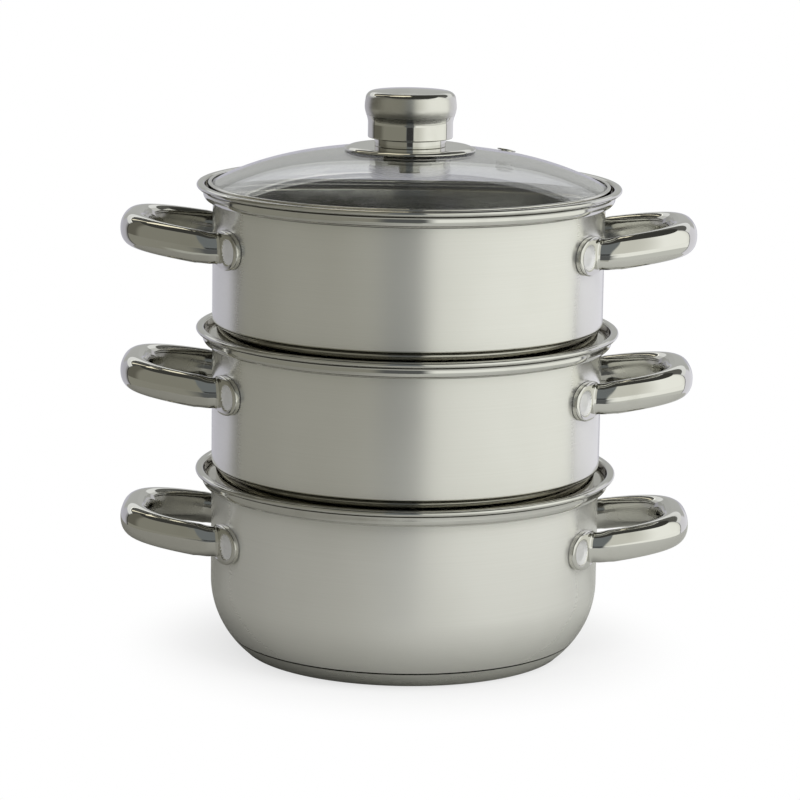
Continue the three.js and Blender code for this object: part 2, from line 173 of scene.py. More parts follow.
class Skin:
    """Points and faces of a piece while it is being made."""

    def __init__(self) -> None:
        """Starts with nothing."""
        self.points: list[Vector] = []
        self.faces: list[tuple[int, ...]] = []

    def ring(self, points: Sequence[Vector]) -> list[int]:
        """Adds points.

        Args:
            points: Places of the points, in order.

        Returns:
            The numbers of the new points.
        """
        first = len(self.points)
        self.points.extend(Vector(p) for p in points)
        return list(range(first, len(self.points)))

    def bridge(self, a: Sequence[int], b: Sequence[int]) -> None:
        """Joins two closed rings, or a ring and a single point.

        Args:
            a: Numbers of the first ring's points.
            b: Numbers of the second ring's points.
        """
        count = max(len(a), len(b))
        for i in range(count):
            corners = (a[i % len(a)], a[(i + 1) % len(a)], b[(i + 1) % len(b)], b[i % len(b)])
            self.faces.append(tuple(dict.fromkeys(corners)))

    def finished(self, name: str, crease: float = CREASE) -> Object:
        """Makes the piece's object, smooth where its faces meet gently.

        Args:
            name: Name of the object.
            crease: Angle between faces above which an edge stays sharp.

        Returns:
            The new object, linked to the scene.
        """
        mesh = bpy.data.meshes.new(name)
        mesh.from_pydata(self.points, [], self.faces)
        shape = bmesh.new()
        shape.from_mesh(mesh)
        bmesh.ops.remove_doubles(shape, verts=shape.verts, dist=MERGE)
        bmesh.ops.recalc_face_normals(shape, faces=shape.faces)
        shape.to_mesh(mesh)
        shape.free()
        smooth(mesh, crease)
        made = bpy.data.objects.new(name, mesh)
        bpy.context.scene.collection.objects.link(made)
        return made


def smooth(mesh: bpy.types.Mesh, crease: float = CREASE) -> None:
    """Shades a mesh smooth but for its creases."""
    mesh.shade_smooth()
    mesh.set_sharp_from_angle(angle=crease)


def circle(radius: float, height: float, sides: int) -> list[Vector]:
    """Points of a level circle about Z."""
    turns = (2 * math.pi * i / sides for i in range(sides))
    return [Vector((radius * math.cos(t), radius * math.sin(t), height)) for t in turns]


def turn_on(skin: Skin, outline: Sequence[Point], sides: int, closed: bool) -> None:
    """Turns an outline about Z into faces.

    Args:
        skin: Skin that takes the faces.
        outline: Distances from the axis and heights.
        sides: Number of faces round the axis.
        closed: Whether the outline's end joins its start.
    """
    rings = [skin.ring(circle(r, z, sides if r > MERGE else 1)) for r, z in outline]
    for a, b in zip(rings, rings[1:]):
        skin.bridge(a, b)
    if closed:
        skin.bridge(rings[-1], rings[0])


def held(outline: Sequence[Point], closed: bool) -> list[Point]:
    """Adds a point near each end of a long straight stretch, so that its shading stays flat.

    Args:
        outline: Distances from the axis and heights.
        closed: Whether the outline's end joins its start.

    Returns:
        The outline with the added points.
    """
    points = []
    ends = [*outline[1:], outline[0]]
    for number, (a, b) in enumerate(zip(outline, ends)):
        points.append(a)
        length = math.dist(a, b)
        if length > LONG_STRETCH and (closed or number < len(outline) - 1):
            for share in (HOLD / length, 1 - HOLD / length):
                points.append((blend(a[0], b[0], share), blend(a[1], b[1], share)))
    return points


def turned(name: str, outline: Sequence[Point], sides: int, closed: bool = False) -> Object:
    """Piece turned about Z.

    Args:
        name: Name of the object.
        outline: Distances from the axis and heights. It starts and ends on the axis, or is closed.
        sides: Number of faces round the axis.
        closed: Whether the piece has a hole on its axis.

    Returns:
        The new object.
    """
    skin = Skin()
    turn_on(skin, held(outline, closed), sides, closed)
    return skin.finished(name)


def cut(piece: Object, tool: Object, crease: float = CREASE) -> None:
    """Cuts a tool's shape out of a piece and throws the tool away.

    Args:
        piece: Piece that is cut.
        tool: Closed shape of what goes.
        crease: Angle between faces above which an edge stays sharp.
    """
    change = piece.modifiers.new("cut", "BOOLEAN")
    change.operation = "DIFFERENCE"
    change.solver = "EXACT"
    change.object = tool
    graph = bpy.context.evaluated_depsgraph_get()
    mesh = bpy.data.meshes.new_from_object(piece.evaluated_get(graph))
    piece.modifiers.clear()
    piece.data = mesh
    smooth(mesh, crease)
    bpy.data.objects.remove(tool)


def drill(place: Matrix, radius: float, low: float, high: float, sides: int) -> Object:
    """Tool for a round hole.

    Args:
        place: Place of the hole, with its axis along Z.
        radius: Radius of the hole.
        low: Height at which the tool starts there.
        high: Height at which it ends.
        sides: Number of faces round the axis.

    Returns:
        The tool.
    """
    skin = Skin()
    turn_on(skin, [(0, low), (radius, low), (radius, high), (0, high)], sides, False)
    tool = skin.finished("drill")
    tool.data.transform(place)
    return tool


Value = Union["Signal", float]


class Signal:
    """Output of a node, which takes part in Python expressions on values."""

    def __init__(self, graph: "Graph", socket: bpy.types.NodeSocket) -> None:
        """Wraps a socket of a graph."""
        self.graph = graph
        self.socket = socket

    def __add__(self, other: Value) -> "Signal":
        """Sum."""
        return self.graph.math("ADD", self, other)

    __radd__ = __add__

    def __sub__(self, other: Value) -> "Signal":
        """Difference."""
        return self.graph.math("SUBTRACT", self, other)

    def __rsub__(self, other: Value) -> "Signal":
        """Difference, with the socket taken away."""
        return self.graph.math("SUBTRACT", other, self)

    def __mul__(self, other: Value) -> "Signal":
        """Product."""
        return self.graph.math("MULTIPLY", self, other)

    __rmul__ = __mul__


class Graph:
    """Nodes of a material or the world, written as expressions."""

    def __init__(self, owner: Union[bpy.types.Material, bpy.types.World]) -> None:
        """Clears the owner's nodes.

        Args:
            owner: Material or world that the nodes are for.
        """
        owner.use_nodes = True
        self.tree = owner.node_tree
        self.tree.nodes.clear()

    def node(self, kind: str, settings: Optional[dict] = None,
             values: Optional[dict] = None) -> bpy.types.Node:
        """Adds any node.

        Args:
            kind: Type of the node, without its common prefix.
            settings: Properties, set first.
            values: Values or links of the inputs, by name or number.

        Returns:
            The new node.
        """
        made = self.tree.nodes.new("ShaderNode" + kind)
        for key, value in (settings or {}).items():
            setattr(made, key, value)
        for key, value in (values or {}).items():
            if isinstance(value, Signal):
                self.tree.links.new(value.socket, made.inputs[key])
            else:
                made.inputs[key].default_value = value
        return made

    def out(self, node: bpy.types.Node, output: Union[str, int] = 0) -> Signal:
        """Output of a node."""
        return Signal(self, node.outputs[output])

    def math(self, operation: str, *values: Value) -> Signal:
        """Math node on up to three values."""
        return self.out(self.node("Math", {"operation": operation}, dict(enumerate(values))))

    def step(self, value: Value, low: float, high: float) -> Signal:
        """Smooth step from 0 at low to 1 at high."""
        sockets = {"Value": value, "From Min": low, "From Max": high}
        return self.out(self.node("MapRange", {"interpolation_type": "SMOOTHSTEP"}, sockets))

    def band(self, value: Value, low: float, high: float, blur: float) -> Signal:
        """Mask that is 1 between low and high, with soft ends."""
        past = self.step(value, high - blur, high + blur)
        return self.step(value, low - blur, low + blur) * (1 - past)

    def length(self, x: Signal, y: Signal) -> Signal:
        """Length of a level vector."""
        return self.math("SQRT", x * x + y * y)

    def mix(self, factor: Value, a: Union[Signal, Colour], b: Union[Signal, Colour]) -> Signal:
        """Colour between a and b."""
        ends = [c if isinstance(c, Signal) else (*c, 1.0) for c in (a, b)]
        return self.out(self.node("Mix", {"data_type": "RGBA"}, {0: factor, 6: ends[0], 7: ends[1]}), 2)

    def place(self) -> Signal:
        """Place on the piece in the object's own frame."""
        return self.out(self.node("TexCoord"), "Object")

    def parts(self, vector: Signal) -> tuple[Signal, Signal, Signal]:
        """The three parts of a vector."""
        split = self.node("SeparateXYZ", values={0: vector})
        return self.out(split, 0), self.out(split, 1), self.out(split, 2)

    def joined(self, x: Value, y: Value, z: Value) -> Signal:
        """Vector of three values."""
        return self.out(self.node("CombineXYZ", values={0: x, 1: y, 2: z}))

    def noise(self, vector: Signal, scale: float, detail: float = 2.0) -> Signal:
        """Noise from 0 to 1."""
        sockets = {"Vector": vector, "Scale": scale, "Detail": detail}
        return self.out(self.node("TexNoise", values=sockets))

    def bump(self, height: Signal, strength: float, distance: float) -> Signal:
        """Normal that follows a height."""
        sockets = {"Height": height, "Strength": strength, "Distance": distance}
        return self.out(self.node("Bump", values=sockets))

    def end(self, shader: Signal, kind: str = "OutputMaterial") -> None:
        """Sends a shader to the output."""
        self.node(kind, values={"Surface": shader})


FINE_GRAIN = 0.1 * MM


class Finish:
    """A surface finish that makes one material and shares it."""

    name: str = ""
    shared: dict["Finish", bpy.types.Material] = {}

    def material(self) -> bpy.types.Material:
        """The finish's material, made when it is first asked for.

        Returns:
            The material.
        """
        if self not in self.shared:
            self.shared[self] = bpy.data.materials.new(self.name)
            self.draw(Graph(self.shared[self]))
        return self.shared[self]

    def draw(self, graph: Graph) -> None:
        """Draws the finish's nodes."""
        raise NotImplementedError


@dataclass(frozen=True)
class SatinSteel(Finish):
    """Stainless steel with fine brushing round the axis."""

    name: str = "satin_wall"
    colour: Colour = (0.87, 0.868, 0.825)
    shade: Colour = (0.82, 0.818, 0.77)
    haze: float = 0.2
    roughness: float = 0.26
    sheen: float = 0.17
    anisotropy: float = 0.6
    brushing_turn: float = 0.25
    line_scale: float = 5200.0
    line_stretch: float = 12.0
    line_detail: float = 3.0
    line_share: float = 0.45
    line_roughness: float = 0.05
    cloud_scale: float = 26.0
    cloud_stretch: float = 0.6
    cloud_roughness: float = 0.07
    tones: Point = (0.3, 0.7)
    grazes: Point = (0.35, 0.8)
    depth: float = 0.01

    def draw(self, graph: Graph) -> None:
        """Draws brushed lines that run round the vessel and circles on level faces, under soft clouds.

        Args:
            graph: Nodes of the material.
        """
        x, y, z = graph.parts(graph.place())
        travel = z + graph.length(x, y)
        along = graph.joined(x * self.line_stretch, y * self.line_stretch, travel * self.line_scale)
        lines = graph.noise(along, 1.0, self.line_detail)
        clouds = graph.noise(graph.joined(x, y, z * self.cloud_stretch), self.cloud_scale)
        tone = graph.step(lines * self.line_share + clouds * (1 - self.line_share), *self.tones)
        facing = graph.out(graph.node("LayerWeight", values={"Blend": 0.5}), "Facing")
        polish = self.sheen * graph.step(facing, *self.grazes)
        roughness = self.roughness + self.line_roughness * lines + self.cloud_roughness * clouds
        shader = graph.node("BsdfPrincipled", values={
            "Base Color": graph.mix(tone, self.shade, self.colour),
            "Metallic": 1.0 - self.haze,
            "Roughness": roughness - polish,
            "Anisotropic": self.anisotropy,
            "Anisotropic Rotation": self.brushing_turn,
            "Normal": graph.bump(lines, self.depth, FINE_GRAIN),
        })
        graph.end(graph.out(shader))


@dataclass(frozen=True)
class PolishedSteel(Finish):
    """Mirror-polished stainless steel with faint smears and waves."""

    name: str = "mirror_polish"
    colour: Colour = (0.72, 0.715, 0.68)
    shade: Colour = (0.68, 0.675, 0.635)
    roughness: float = 0.045
    smear: float = 0.06
    wave: float = 0.03
    smear_scale: float = 70.0
    smear_detail: float = 4.0
    smears_from: Point = (0.5, 0.75)
    wave_scale: float = 120.0
    wave_detail: float = 1.0
    wave_height: float = 0.5 * MM

    def draw(self, graph: Graph) -> None:
        """Draws smears in the roughness and slow waves in the normal.

        Args:
            graph: Nodes of the material.
        """
        place = graph.place()
        smears = graph.step(graph.noise(place, self.smear_scale, self.smear_detail), *self.smears_from)
        waves = graph.noise(place, self.wave_scale, self.wave_detail)
        shader = graph.node("BsdfPrincipled", values={
            "Base Color": graph.mix(smears, self.colour, self.shade),
            "Metallic": 1.0,
            "Roughness": self.roughness + self.smear * smears,
            "Normal": graph.bump(waves, self.wave, self.wave_height),
        })
        graph.end(graph.out(shader))


@dataclass(frozen=True)
class PlainMetal(Finish):
    """Bare aluminium or zinc-plated steel with a mottled surface."""

    name: str = "plain_metal"
    colour: Colour = (0.6, 0.61, 0.62)
    roughness: float = 0.35
    mottle_scale: float = 900.0
    mottle_detail: float = 3.0
    mottle_roughness: float = 0.15
    darker: float = 0.8
    depth: float = 0.05

    def draw(self, graph: Graph) -> None:
        """Draws a mottled metal.

        Args:
            graph: Nodes of the material.
        """
        mottle = graph.noise(graph.place(), self.mottle_scale, self.mottle_detail)
        dark = tuple(self.darker * c for c in self.colour)
        shader = graph.node("BsdfPrincipled", values={
            "Base Color": graph.mix(mottle, dark, self.colour),
            "Metallic": 1.0,
            "Roughness": self.roughness + self.mottle_roughness * mottle,
            "Normal": graph.bump(mottle, self.depth, FINE_GRAIN),
        })
        graph.end(graph.out(shader))


@dataclass(frozen=True)
class Moulded(Finish):
    """Moulded plastic or rubber with a fine grain."""

    name: str = "moulded"
    colour: Colour = (0.02, 0.02, 0.022)
    roughness: float = 0.45
    grain_scale: float = 2200.0
    grain_detail: float = 3.0
    grain_roughness: float = 0.1
    lighter: float = 1.25
    bloom: float = 0.01
    depth: float = 0.1

    def draw(self, graph: Graph) -> None:
        """Draws a grained plastic or rubber.

        Args:
            graph: Nodes of the material.
        """
        grain = graph.noise(graph.place(), self.grain_scale, self.grain_detail)
        light = tuple(min(1.0, self.lighter * c + self.bloom) for c in self.colour)
        shader = graph.node("BsdfPrincipled", values={
            "Base Color": graph.mix(grain, self.colour, light),
            "Roughness": self.roughness + self.grain_roughness * grain,
            "Normal": graph.bump(grain, self.depth, FINE_GRAIN),
        })
        graph.end(graph.out(shader))


@dataclass(frozen=True)
class ClearGlass(Finish):
    """Clear tempered glass with a faint film on it."""

    name: str = "tempered_dome"
    colour: Colour = (0.975, 0.985, 0.98)
    film: float = 0.02
    film_scale: float = 30.0
    film_detail: float = 4.0
    film_from: Point = (0.5, 0.8)
    refraction: float = 1.5

    def draw(self, graph: Graph) -> None:
        """Draws glass whose film shows in its roughness.

        Args:
            graph: Nodes of the material.
        """
        film = graph.step(graph.noise(graph.place(), self.film_scale, self.film_detail), *self.film_from)
        shader = graph.node("BsdfPrincipled", values={
            "Base Color": (*self.colour, 1.0),
            "Roughness": self.film * film,
            "Transmission Weight": 1.0,
            "IOR": self.refraction,
        })
        graph.end(graph.out(shader))


SATIN = SatinSteel()
PAN_SATIN = SatinSteel(name="satin_pan", haze=0.45, roughness=0.3)
MIRROR = PolishedSteel()
RIM = PolishedSteel("polished_rim", (0.68, 0.678, 0.645), (0.63, 0.628, 0.595),
                    roughness=0.07, wave=0.015)
# Duller steel for the insides and floors; its darker colour is painted shade, the shade inside the covered
# vessels.
INSIDE = PolishedSteel("inside_painted_shade", (0.42, 0.42, 0.405), (0.36, 0.36, 0.345),
                       roughness=0.13, smear=0.1, wave=0.02)
# Painted shade: a darker steel in the collar's well and on a tier's lower end that sits in it, where shade
# falls between the parts.
SEAT = PolishedSteel("seat_painted_shade", (0.56, 0.55, 0.50), (0.50, 0.49, 0.44),
                     roughness=0.08, wave=0.02)
# Painted shade: a near-black steel in the creases under the collar's bend and the lip's fold and in the
# pan's seam gap, where shade falls.
GROOVE = PolishedSteel("groove_painted_shade", (0.07, 0.067, 0.058), (0.05, 0.047, 0.041),
                       roughness=0.12, smear=0.1, wave=0.02)
SPUN = PolishedSteel("spun_polish", (0.71, 0.705, 0.665), (0.65, 0.645, 0.60),
                     roughness=0.055, smear=0.05)
CROWN = replace(SPUN, name="spun_crown", roughness=0.28)
# Less polished steel for the inside of a handle's loop; its darker colour is painted shade between handle
# and wall.
INNER = PolishedSteel("inner_bend_painted_shade", (0.53, 0.525, 0.49), (0.45, 0.445, 0.41),
                      roughness=0.07, smear=0.07)
# Matt weld spots on the handles' feet; their near-white colour is a painted highlight, the bright reflection
# in the pressed dish.
WELD = SatinSteel("weld_spot_painted_highlight", (0.86, 0.86, 0.87), (0.80, 0.80, 0.80),
                  haze=0.55, roughness=0.34, sheen=0.0, anisotropy=0.0, line_scale=900.0)
ZINC = PlainMetal(name="zinc_plating")
BARE = PlainMetal(name="rolled_aluminium", colour=(0.72, 0.73, 0.74), roughness=0.45)
PHENOLIC = Moulded(name="moulded_phenolic")
SILICONE = Moulded(name="moulded_silicone", colour=(0.6, 0.61, 0.62), roughness=0.6)
GLASS = ClearGlass()

VESSEL_SIDES = 180
KNOB_SIDES = 96
SMALL_SIDES = 48


class SubAssembly:
    """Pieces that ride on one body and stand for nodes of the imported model."""

    def __init__(self, body: str) -> None:
        """Starts with no pieces."""
        self.body = body
        self.made: dict[str, tuple[Object, Slot]] = {}

    def add(self, node: str, piece: Object, slot: Slot, finish: Finish) -> None:
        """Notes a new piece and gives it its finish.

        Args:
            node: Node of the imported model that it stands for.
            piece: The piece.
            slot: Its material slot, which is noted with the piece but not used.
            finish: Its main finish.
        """
        piece.data.materials.clear()
        piece.data.materials.append(finish.material())
        self.made[node] = (piece, slot)

    def build(self) -> None:
        """Makes the pieces' meshes."""
        raise NotImplementedError

    def dress(self) -> None:
        """Hides the imported node that each piece stands for and hangs the piece on its body."""
        for node, (piece, slot) in self.made.items():
            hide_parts(node)
            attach(piece, self.body)
            log.info("%s stands for %s on %s", piece.name, node, self.body)


@dataclass(frozen=True)
class Wall:
    """Straight wall with the stepped collar and rolled lip that all three vessels share."""

    radius: float = 90 * MM
    sheet: float = 0.8 * MM
    collar_step: float = 4.4 * MM
    collar_depth: float = 7 * MM
    collar_bend: float = 3 * MM
    collar_tuck: float = 0.6 * MM
    lip_flare: float = 1.6 * MM
    lip_overhang: float = 3 * MM
    lip_thickness: float = 2.2 * MM
    lip_ease: float = 1.2 * MM
    ledge_ease: float = 1 * MM
    # how far the rim's polish and the seat's painted shade reach past the bends
    polish_margin: float = 0.4 * MM
    seat_margin: float = 0.5 * MM

    @property
    def inner(self) -> float:
        """Radius of the wall's inside."""
        return self.radius - self.sheet

    @property
    def collar(self) -> float:
        """Radius of the collar's outside."""
        return self.radius + self.collar_step

    @property
    def bore(self) -> float:
        """Radius of the collar's inside."""
        return self.collar - self.sheet

    def rim(self, top: float) -> list[Point]:
        """Outline from the outside of the wall, over the lip, to the inside of the wall.

        Args:
            top: Height of the lip's top.

        Returns:
            The outline's points.
        """
        ledge = top - self.collar_depth
        bend = (self.collar - self.collar_bend, ledge - self.sheet + self.collar_bend)
        half = self.lip_thickness / 2
        lip = (self.collar + self.lip_overhang - half, top - half)
        mouth = (self.bore + self.lip_ease, top - self.lip_ease)
        edge = (self.inner + self.ledge_ease, ledge - self.ledge_ease)
        tuck, flare = self.collar_tuck, self.lip_flare
        return [
            *arc((self.radius + tuck, ledge - self.sheet - tuck), tuck, WEST, NORTH, 5),
            *arc(bend, self.collar_bend, SOUTH, EAST, 12),
            *arc((self.collar + flare, top - self.lip_thickness - flare), flare, WEST, NORTH, 8),
            *arc(lip, half, SOUTH, NORTH, 16),
            *arc(mouth, self.lip_ease, NORTH, WEST, 8),
            *arc(bend, self.collar_bend - self.sheet, EAST, SOUTH, 8),
            *arc(edge, self.ledge_ease, NORTH, WEST, 6),
        ]


WALL = Wall()


@dataclass(frozen=True)
class Handle:
    """Bent tube handle whose flattened feet are welded to the wall."""

    reach: float = 42 * MM
    rise: float = 5.5 * MM
    spread: float = 34 * MM
    bend_offset: float = 15 * MM
    width: float = 13 * MM
    height: float = 15.1 * MM
    lobe_length: float = 25.8 * MM
    lobe_height: float = 17.7 * MM
    lobe_thickness: float = 2.5 * MM
    lobe_margin: float = 1.2 * MM
    lobe_round: float = 0.9 * MM
    lobe_crown: float = 0.15 * MM
    back_shares: tuple[float, ...] = (0.05, 0.3, 0.6, 0.85)
    root_width: float = 9.4 * MM
    root_height: float = 14 * MM
    root_fillet: float = 1.6 * MM
    weld_gap: float = 0.3 * MM
    weld_width: float = 12.4 * MM
    weld_height: float = 12.8 * MM
    weld_depth: float = 1.3 * MM
    weld_floor_share: float = 0.66
    weld_place_share: float = 0.5
    # the matt coat with its painted highlight covers this share of the weld's dish
    weld_matt_share: float = 0.9
    face_margin: float = 0.4 * MM
    leg_width: float = 8.8 * MM
    swell_share: float = 0.7
    # the inside of the loop, found from this middle and the facing below, gets the painted shade
    loop_middle_share: float = 1 / 3
    inner_facing: float = 0.6
    vent_radius: float = 1.1 * MM
    vent_way_share: float = 0.8
    vent_out_share: float = 0.6
    vent_rise_share: float = 0.42
    vent_tilt: float = math.radians(40)
    vent_sides: int = 20
    crease: float = math.radians(50)
    plan_power: float = 3.08
    section_power: float = 2.3
    last_angle: float = math.radians(75)
    section_sides: int = 64
    edge_steps: int = 6
    face_steps: int = 36
    neck_steps: int = 8
    tube_steps: int = 44

    @property
    def middle_x(self) -> float:
        """Distance of the bend's middle from the axis."""
        return WALL.radius - self.bend_offset

    @property
    def tip_x(self) -> float:
        """Distance of the tube's centre from the axis at the tip."""
        return WALL.radius + self.reach - self.width / 2

    @property
    def inner_side(self) -> float:
        """Way round the wall from the handle's middle to the inner side of its leg."""
        return WALL.radius * math.asin((self.spread - self.width / 2) / WALL.radius)

    def rounded(self, angle: float) -> Point:
        """Point of the rounded section.

        Args:
            angle: Angle from the outer side, towards the top.

        Returns:
            Shares of the section's half width and half height.
        """
        side, rise = math.cos(angle), math.sin(angle)
        power = 2 / self.section_power
        return math.copysign(abs(side) ** power, side), math.copysign(abs(rise) ** power, rise)

    @property
    def weld_way(self) -> float:
        """Way round the wall to the middle of the weld's dimple."""
        root, end = self.inner_side + self.root_width, self.inner_side + self.lobe_length
        return blend(root, end, self.weld_place_share)

    def from_weld(self, way: float, z: float) -> float:
        """How far a place on the foot is from the dimple's middle, where 1 is the dimple's edge."""
        return 2 * math.hypot((way - self.weld_way) / self.weld_width, z / self.weld_height)

    def on_wall(self, near: float, far: float, half_height: float, height: float,
                dished: bool) -> list[Vector]:
        """Ring of the foot, laid on the wall.

        Args:
            near: Way round the wall to the ring's inner side.
            far: Way round the wall to its outer side.
            half_height: Half of the ring's height.
            height: How far the ring stands off the wall.
            dished: Whether the weld's dimple is pressed into it.

        Returns:
            The ring's points, relative to the handle's height.
        """
        points = []
        for i in range(self.section_sides):
            side, rise = self.rounded(2 * math.pi * i / self.section_sides)
            way = (near + far) / 2 + side * (far - near) / 2
            z = rise * half_height
            past = self.from_weld(way, z) - self.weld_floor_share
            fall = 1 - eased(past / (1 - self.weld_floor_share))
            dish = self.weld_depth * fall if dished else 0.0
            distance = WALL.radius + height - dish
            turn = -way / WALL.radius
            points.append(Vector((distance * math.cos(turn), distance * math.sin(turn), z)))
        return points

    def foot(self) -> list[list[Vector]]:
        """Rings of the foot, from its back on the wall, over its rounded edge and its face, to the root.

        Returns:
            The rings.
        """
        near = self.inner_side - self.lobe_margin
        far = self.inner_side + self.lobe_length
        half = self.lobe_height / 2
        rings = []
        for share in (*self.back_shares, 1.0):
            ends = blend((near + far) / 2, near, share), blend((near + far) / 2, far, share)
            rings.append(self.on_wall(*ends, half * share, self.weld_gap, False))
        for i in range(self.edge_steps + 1):
            angle = NORTH * i / self.edge_steps
            shrink = self.lobe_round * (1 - math.cos(angle))
            height = self.weld_gap + self.lobe_thickness - self.lobe_round * (1 - math.sin(angle))
            rings.append(self.on_wall(near + shrink, far - shrink, half - shrink, height, False))
        for i in range(1, self.face_steps + 1):
            rings.append(self.face_ring(i / self.face_steps))
        return rings

    def face_ring(self, share: float) -> list[Vector]:
        """Ring on the foot's face.

        Args:
            share: Share of the way from the face's edge to the root.

        Returns:
            The ring's points.
        """
        near = self.inner_side - self.lobe_margin + self.lobe_round
        far = self.inner_side + self.lobe_length - self.lobe_round
        half = self.lobe_height / 2 - self.lobe_round
        start = 1 - self.root_fillet / (far - self.inner_side - self.root_width)
        climb = max(0.0, (share - start) / (1 - start))
        crown = self.lobe_crown * math.sin(math.pi * min(share / start, 1.0))
        height = self.weld_gap + self.lobe_thickness + crown
        height += self.root_fillet * (1 - math.sqrt(max(0.0, 1 - climb ** 2)))
        ends = blend(near, self.inner_side, share), blend(far, self.inner_side + self.root_width, share)
        return self.on_wall(*ends, blend(half, self.root_height / 2, share), height, True)

    def on_tube(self, middle: Vector, across: Vector, half_width: float, half_height: float) -> list[Vector]:
        """Ring of the tube.

        Args:
            middle: Middle of the ring.
            across: Level direction to the tube's outer side.
            half_width: Half of the ring's width.
            half_height: Half of the ring's height.

        Returns:
            The ring's points.
        """
        points = []
        for i in range(self.section_sides):
            side, rise = self.rounded(2 * math.pi * i / self.section_sides)
            points.append(middle + across * (side * half_width) + Vector((0, 0, rise * half_height)))
        return points

    def bend(self, angle: float) -> tuple[Vector, Vector]:
        """Place on the tube's rounded plan.

        Args:
            angle: Angle on the plan, from the tip.

        Returns:
            The tube's middle there and the direction to its outer side.
        """
        reach = math.cos(angle) ** (2 / self.plan_power)
        spread = math.sin(angle) ** (2 / self.plan_power)
        length = self.tip_x - self.middle_x
        middle = Vector((self.middle_x + length * reach, -self.spread * spread, 0))
        middle.z = self.lift(middle.x)
        outwards = reach ** (self.plan_power - 1) / length
        sideways = -(spread ** (self.plan_power - 1)) / self.spread
        return middle, Vector((outwards, sideways, 0)).normalized()

    def lift(self, x: float) -> float:
        """Height of the tube's middle over the foot's, at a distance from the axis."""
        return self.rise * (x - WALL.radius) / (self.tip_x - WALL.radius)

    def neck(self) -> list[list[Vector]]:
        """Rings between the root and the bent tube, which leave the root straight along X.

        Returns:
            The rings.
        """
        way = self.inner_side + self.root_width / 2
        turn = -way / WALL.radius
        distance = WALL.radius + self.weld_gap + self.lobe_thickness + self.root_fillet
        start = Vector((distance * math.cos(turn), distance * math.sin(turn), 0))
        out = Vector((1, 0, 0))
        end, across = self.bend(self.last_angle)
        along = Vector((-across.y, across.x, 0))
        pull = (end - start).length
        rings = []
        for i in range(1, self.neck_steps):
            t = i / self.neck_steps
            middle = curve(start, out * pull, end, along * pull, t)
            middle.z = blend(0, end.z, eased(t))
            slope = out.lerp(along, t).normalized()
            side = Vector((slope.y, -slope.x, 0))
            width = blend(self.root_width, self.leg_width, eased(t))
            height = blend(self.root_height, self.height, t)
            rings.append(self.on_tube(middle, side, width / 2, height / 2))
        return rings

    def tube(self) -> list[list[Vector]]:
        """Rings of the bent tube, from the neck to the tip.

        Returns:
            The rings.
        """
        rings = []
        for i in range(self.tube_steps + 1):
            share = i / self.tube_steps
            angle = self.last_angle * (1 - share)
            middle, across = self.bend(angle)
            width = blend(self.leg_width, self.width, eased(share / self.swell_share))
            rings.append(self.on_tube(middle, across, width / 2, self.height / 2))
        return rings

    def piece(self, name: str, side: Side, height: float) -> Object:
        """Makes the handle.

        Args:
            name: Name of the object.
            side: Side of the pot.
            height: Height of the middle of its feet.

        Returns:
            The new object.
        """
        half = [*self.foot(), *self.neck(), *self.tube()]
        flipped = [[Vector((p.x, -p.y, p.z)) for p in ring] for ring in reversed(half[:-1])]
        place = Matrix.Translation((0, 0, height)) @ Matrix.Rotation(side.value, 4, "Z")
        skin = Skin()
        rings = [skin.ring([place @ p for p in ring]) for ring in [*half, *flipped]]
        for a, b in zip(rings, rings[1:]):
            skin.bridge(a, b)
        for end in (rings[0], rings[-1]):
            skin.faces.append(tuple(end))
        handle = skin.finished(name, self.crease)
        for y_side in (-1, 1):
            cut(handle, self.vent_drill(place, y_side), self.crease)
        return handle

    def coat(self, handle: Object, side: Side, height: float) -> None:
        """Leaves the weld spots of a handle's feet matt with a painted highlight, and the inside of its loop
        less polished and darker with painted shade.

        Args:
            handle: The handle, with its finish.
            side: Side of the pot.
            height: Height of the middle of its feet.
        """
        for finish in (WELD, INNER):
            handle.data.materials.append(finish.material())
        turn = Matrix.Rotation(-side.value, 3, "Z")
        feet = Vector((0, 0, height))
        for face in handle.data.polygons:
            face.material_index = self.coat_at(turn @ (face.center - feet), turn @ face.normal)

    def coat_at(self, place: Vector, normal: Vector) -> GripCoat:
        """Finish that a place has on a handle that stands on the right side.

        Args:
            place: Middle of a face, from the level of the middle of the feet.
            normal: Direction in which the face looks.

        Returns:
            The finish.
        """
        face_out = WALL.radius + self.weld_gap + self.lobe_thickness + self.face_margin
        if place.xy.length > face_out:
            # faces that look into the loop get the painted shade
            loop_middle = Vector((WALL.radius + self.reach * self.loop_middle_share, 0))
            inwards = (loop_middle - place.xy).normalized()
            return GripCoat.INNER if inwards.dot(normal.xy) > self.inner_facing else GripCoat.POLISH
        way = WALL.radius * math.atan2(abs(place.y), place.x)
        pressed = self.from_weld(way, place.z) < self.weld_matt_share
        # the pressed dish gets the matt coat with its painted highlight
        return GripCoat.WELD if pressed and place.xy.dot(normal.xy) > 0 else GripCoat.POLISH

    def vent_drill(self, place: Matrix, y_side: int) -> Object:
        """Tool for the small vent hole at the top of a leg's root.

        Args:
            place: Place of the handle.
            y_side: -1 for the front leg, 1 for the back leg.

        Returns:
            The tool.
        """
        way = self.inner_side + self.vent_way_share * self.root_width
        off_wall = self.weld_gap + self.lobe_thickness + self.vent_out_share * self.root_fillet
        distance, turn = WALL.radius + off_wall, y_side * way / WALL.radius
        rise = self.vent_rise_share * self.root_height
        mouth = (distance * math.cos(turn), distance * math.sin(turn), rise)
        tilt = Matrix.Rotation(-y_side * self.vent_tilt, 4, "X")
        hole = place @ Matrix.Translation(mouth) @ tilt
        deep, out = -2 * self.vent_radius, 4 * self.vent_radius
        return drill(hole, self.vent_radius, deep, out, self.vent_sides)


HANDLE = Handle()


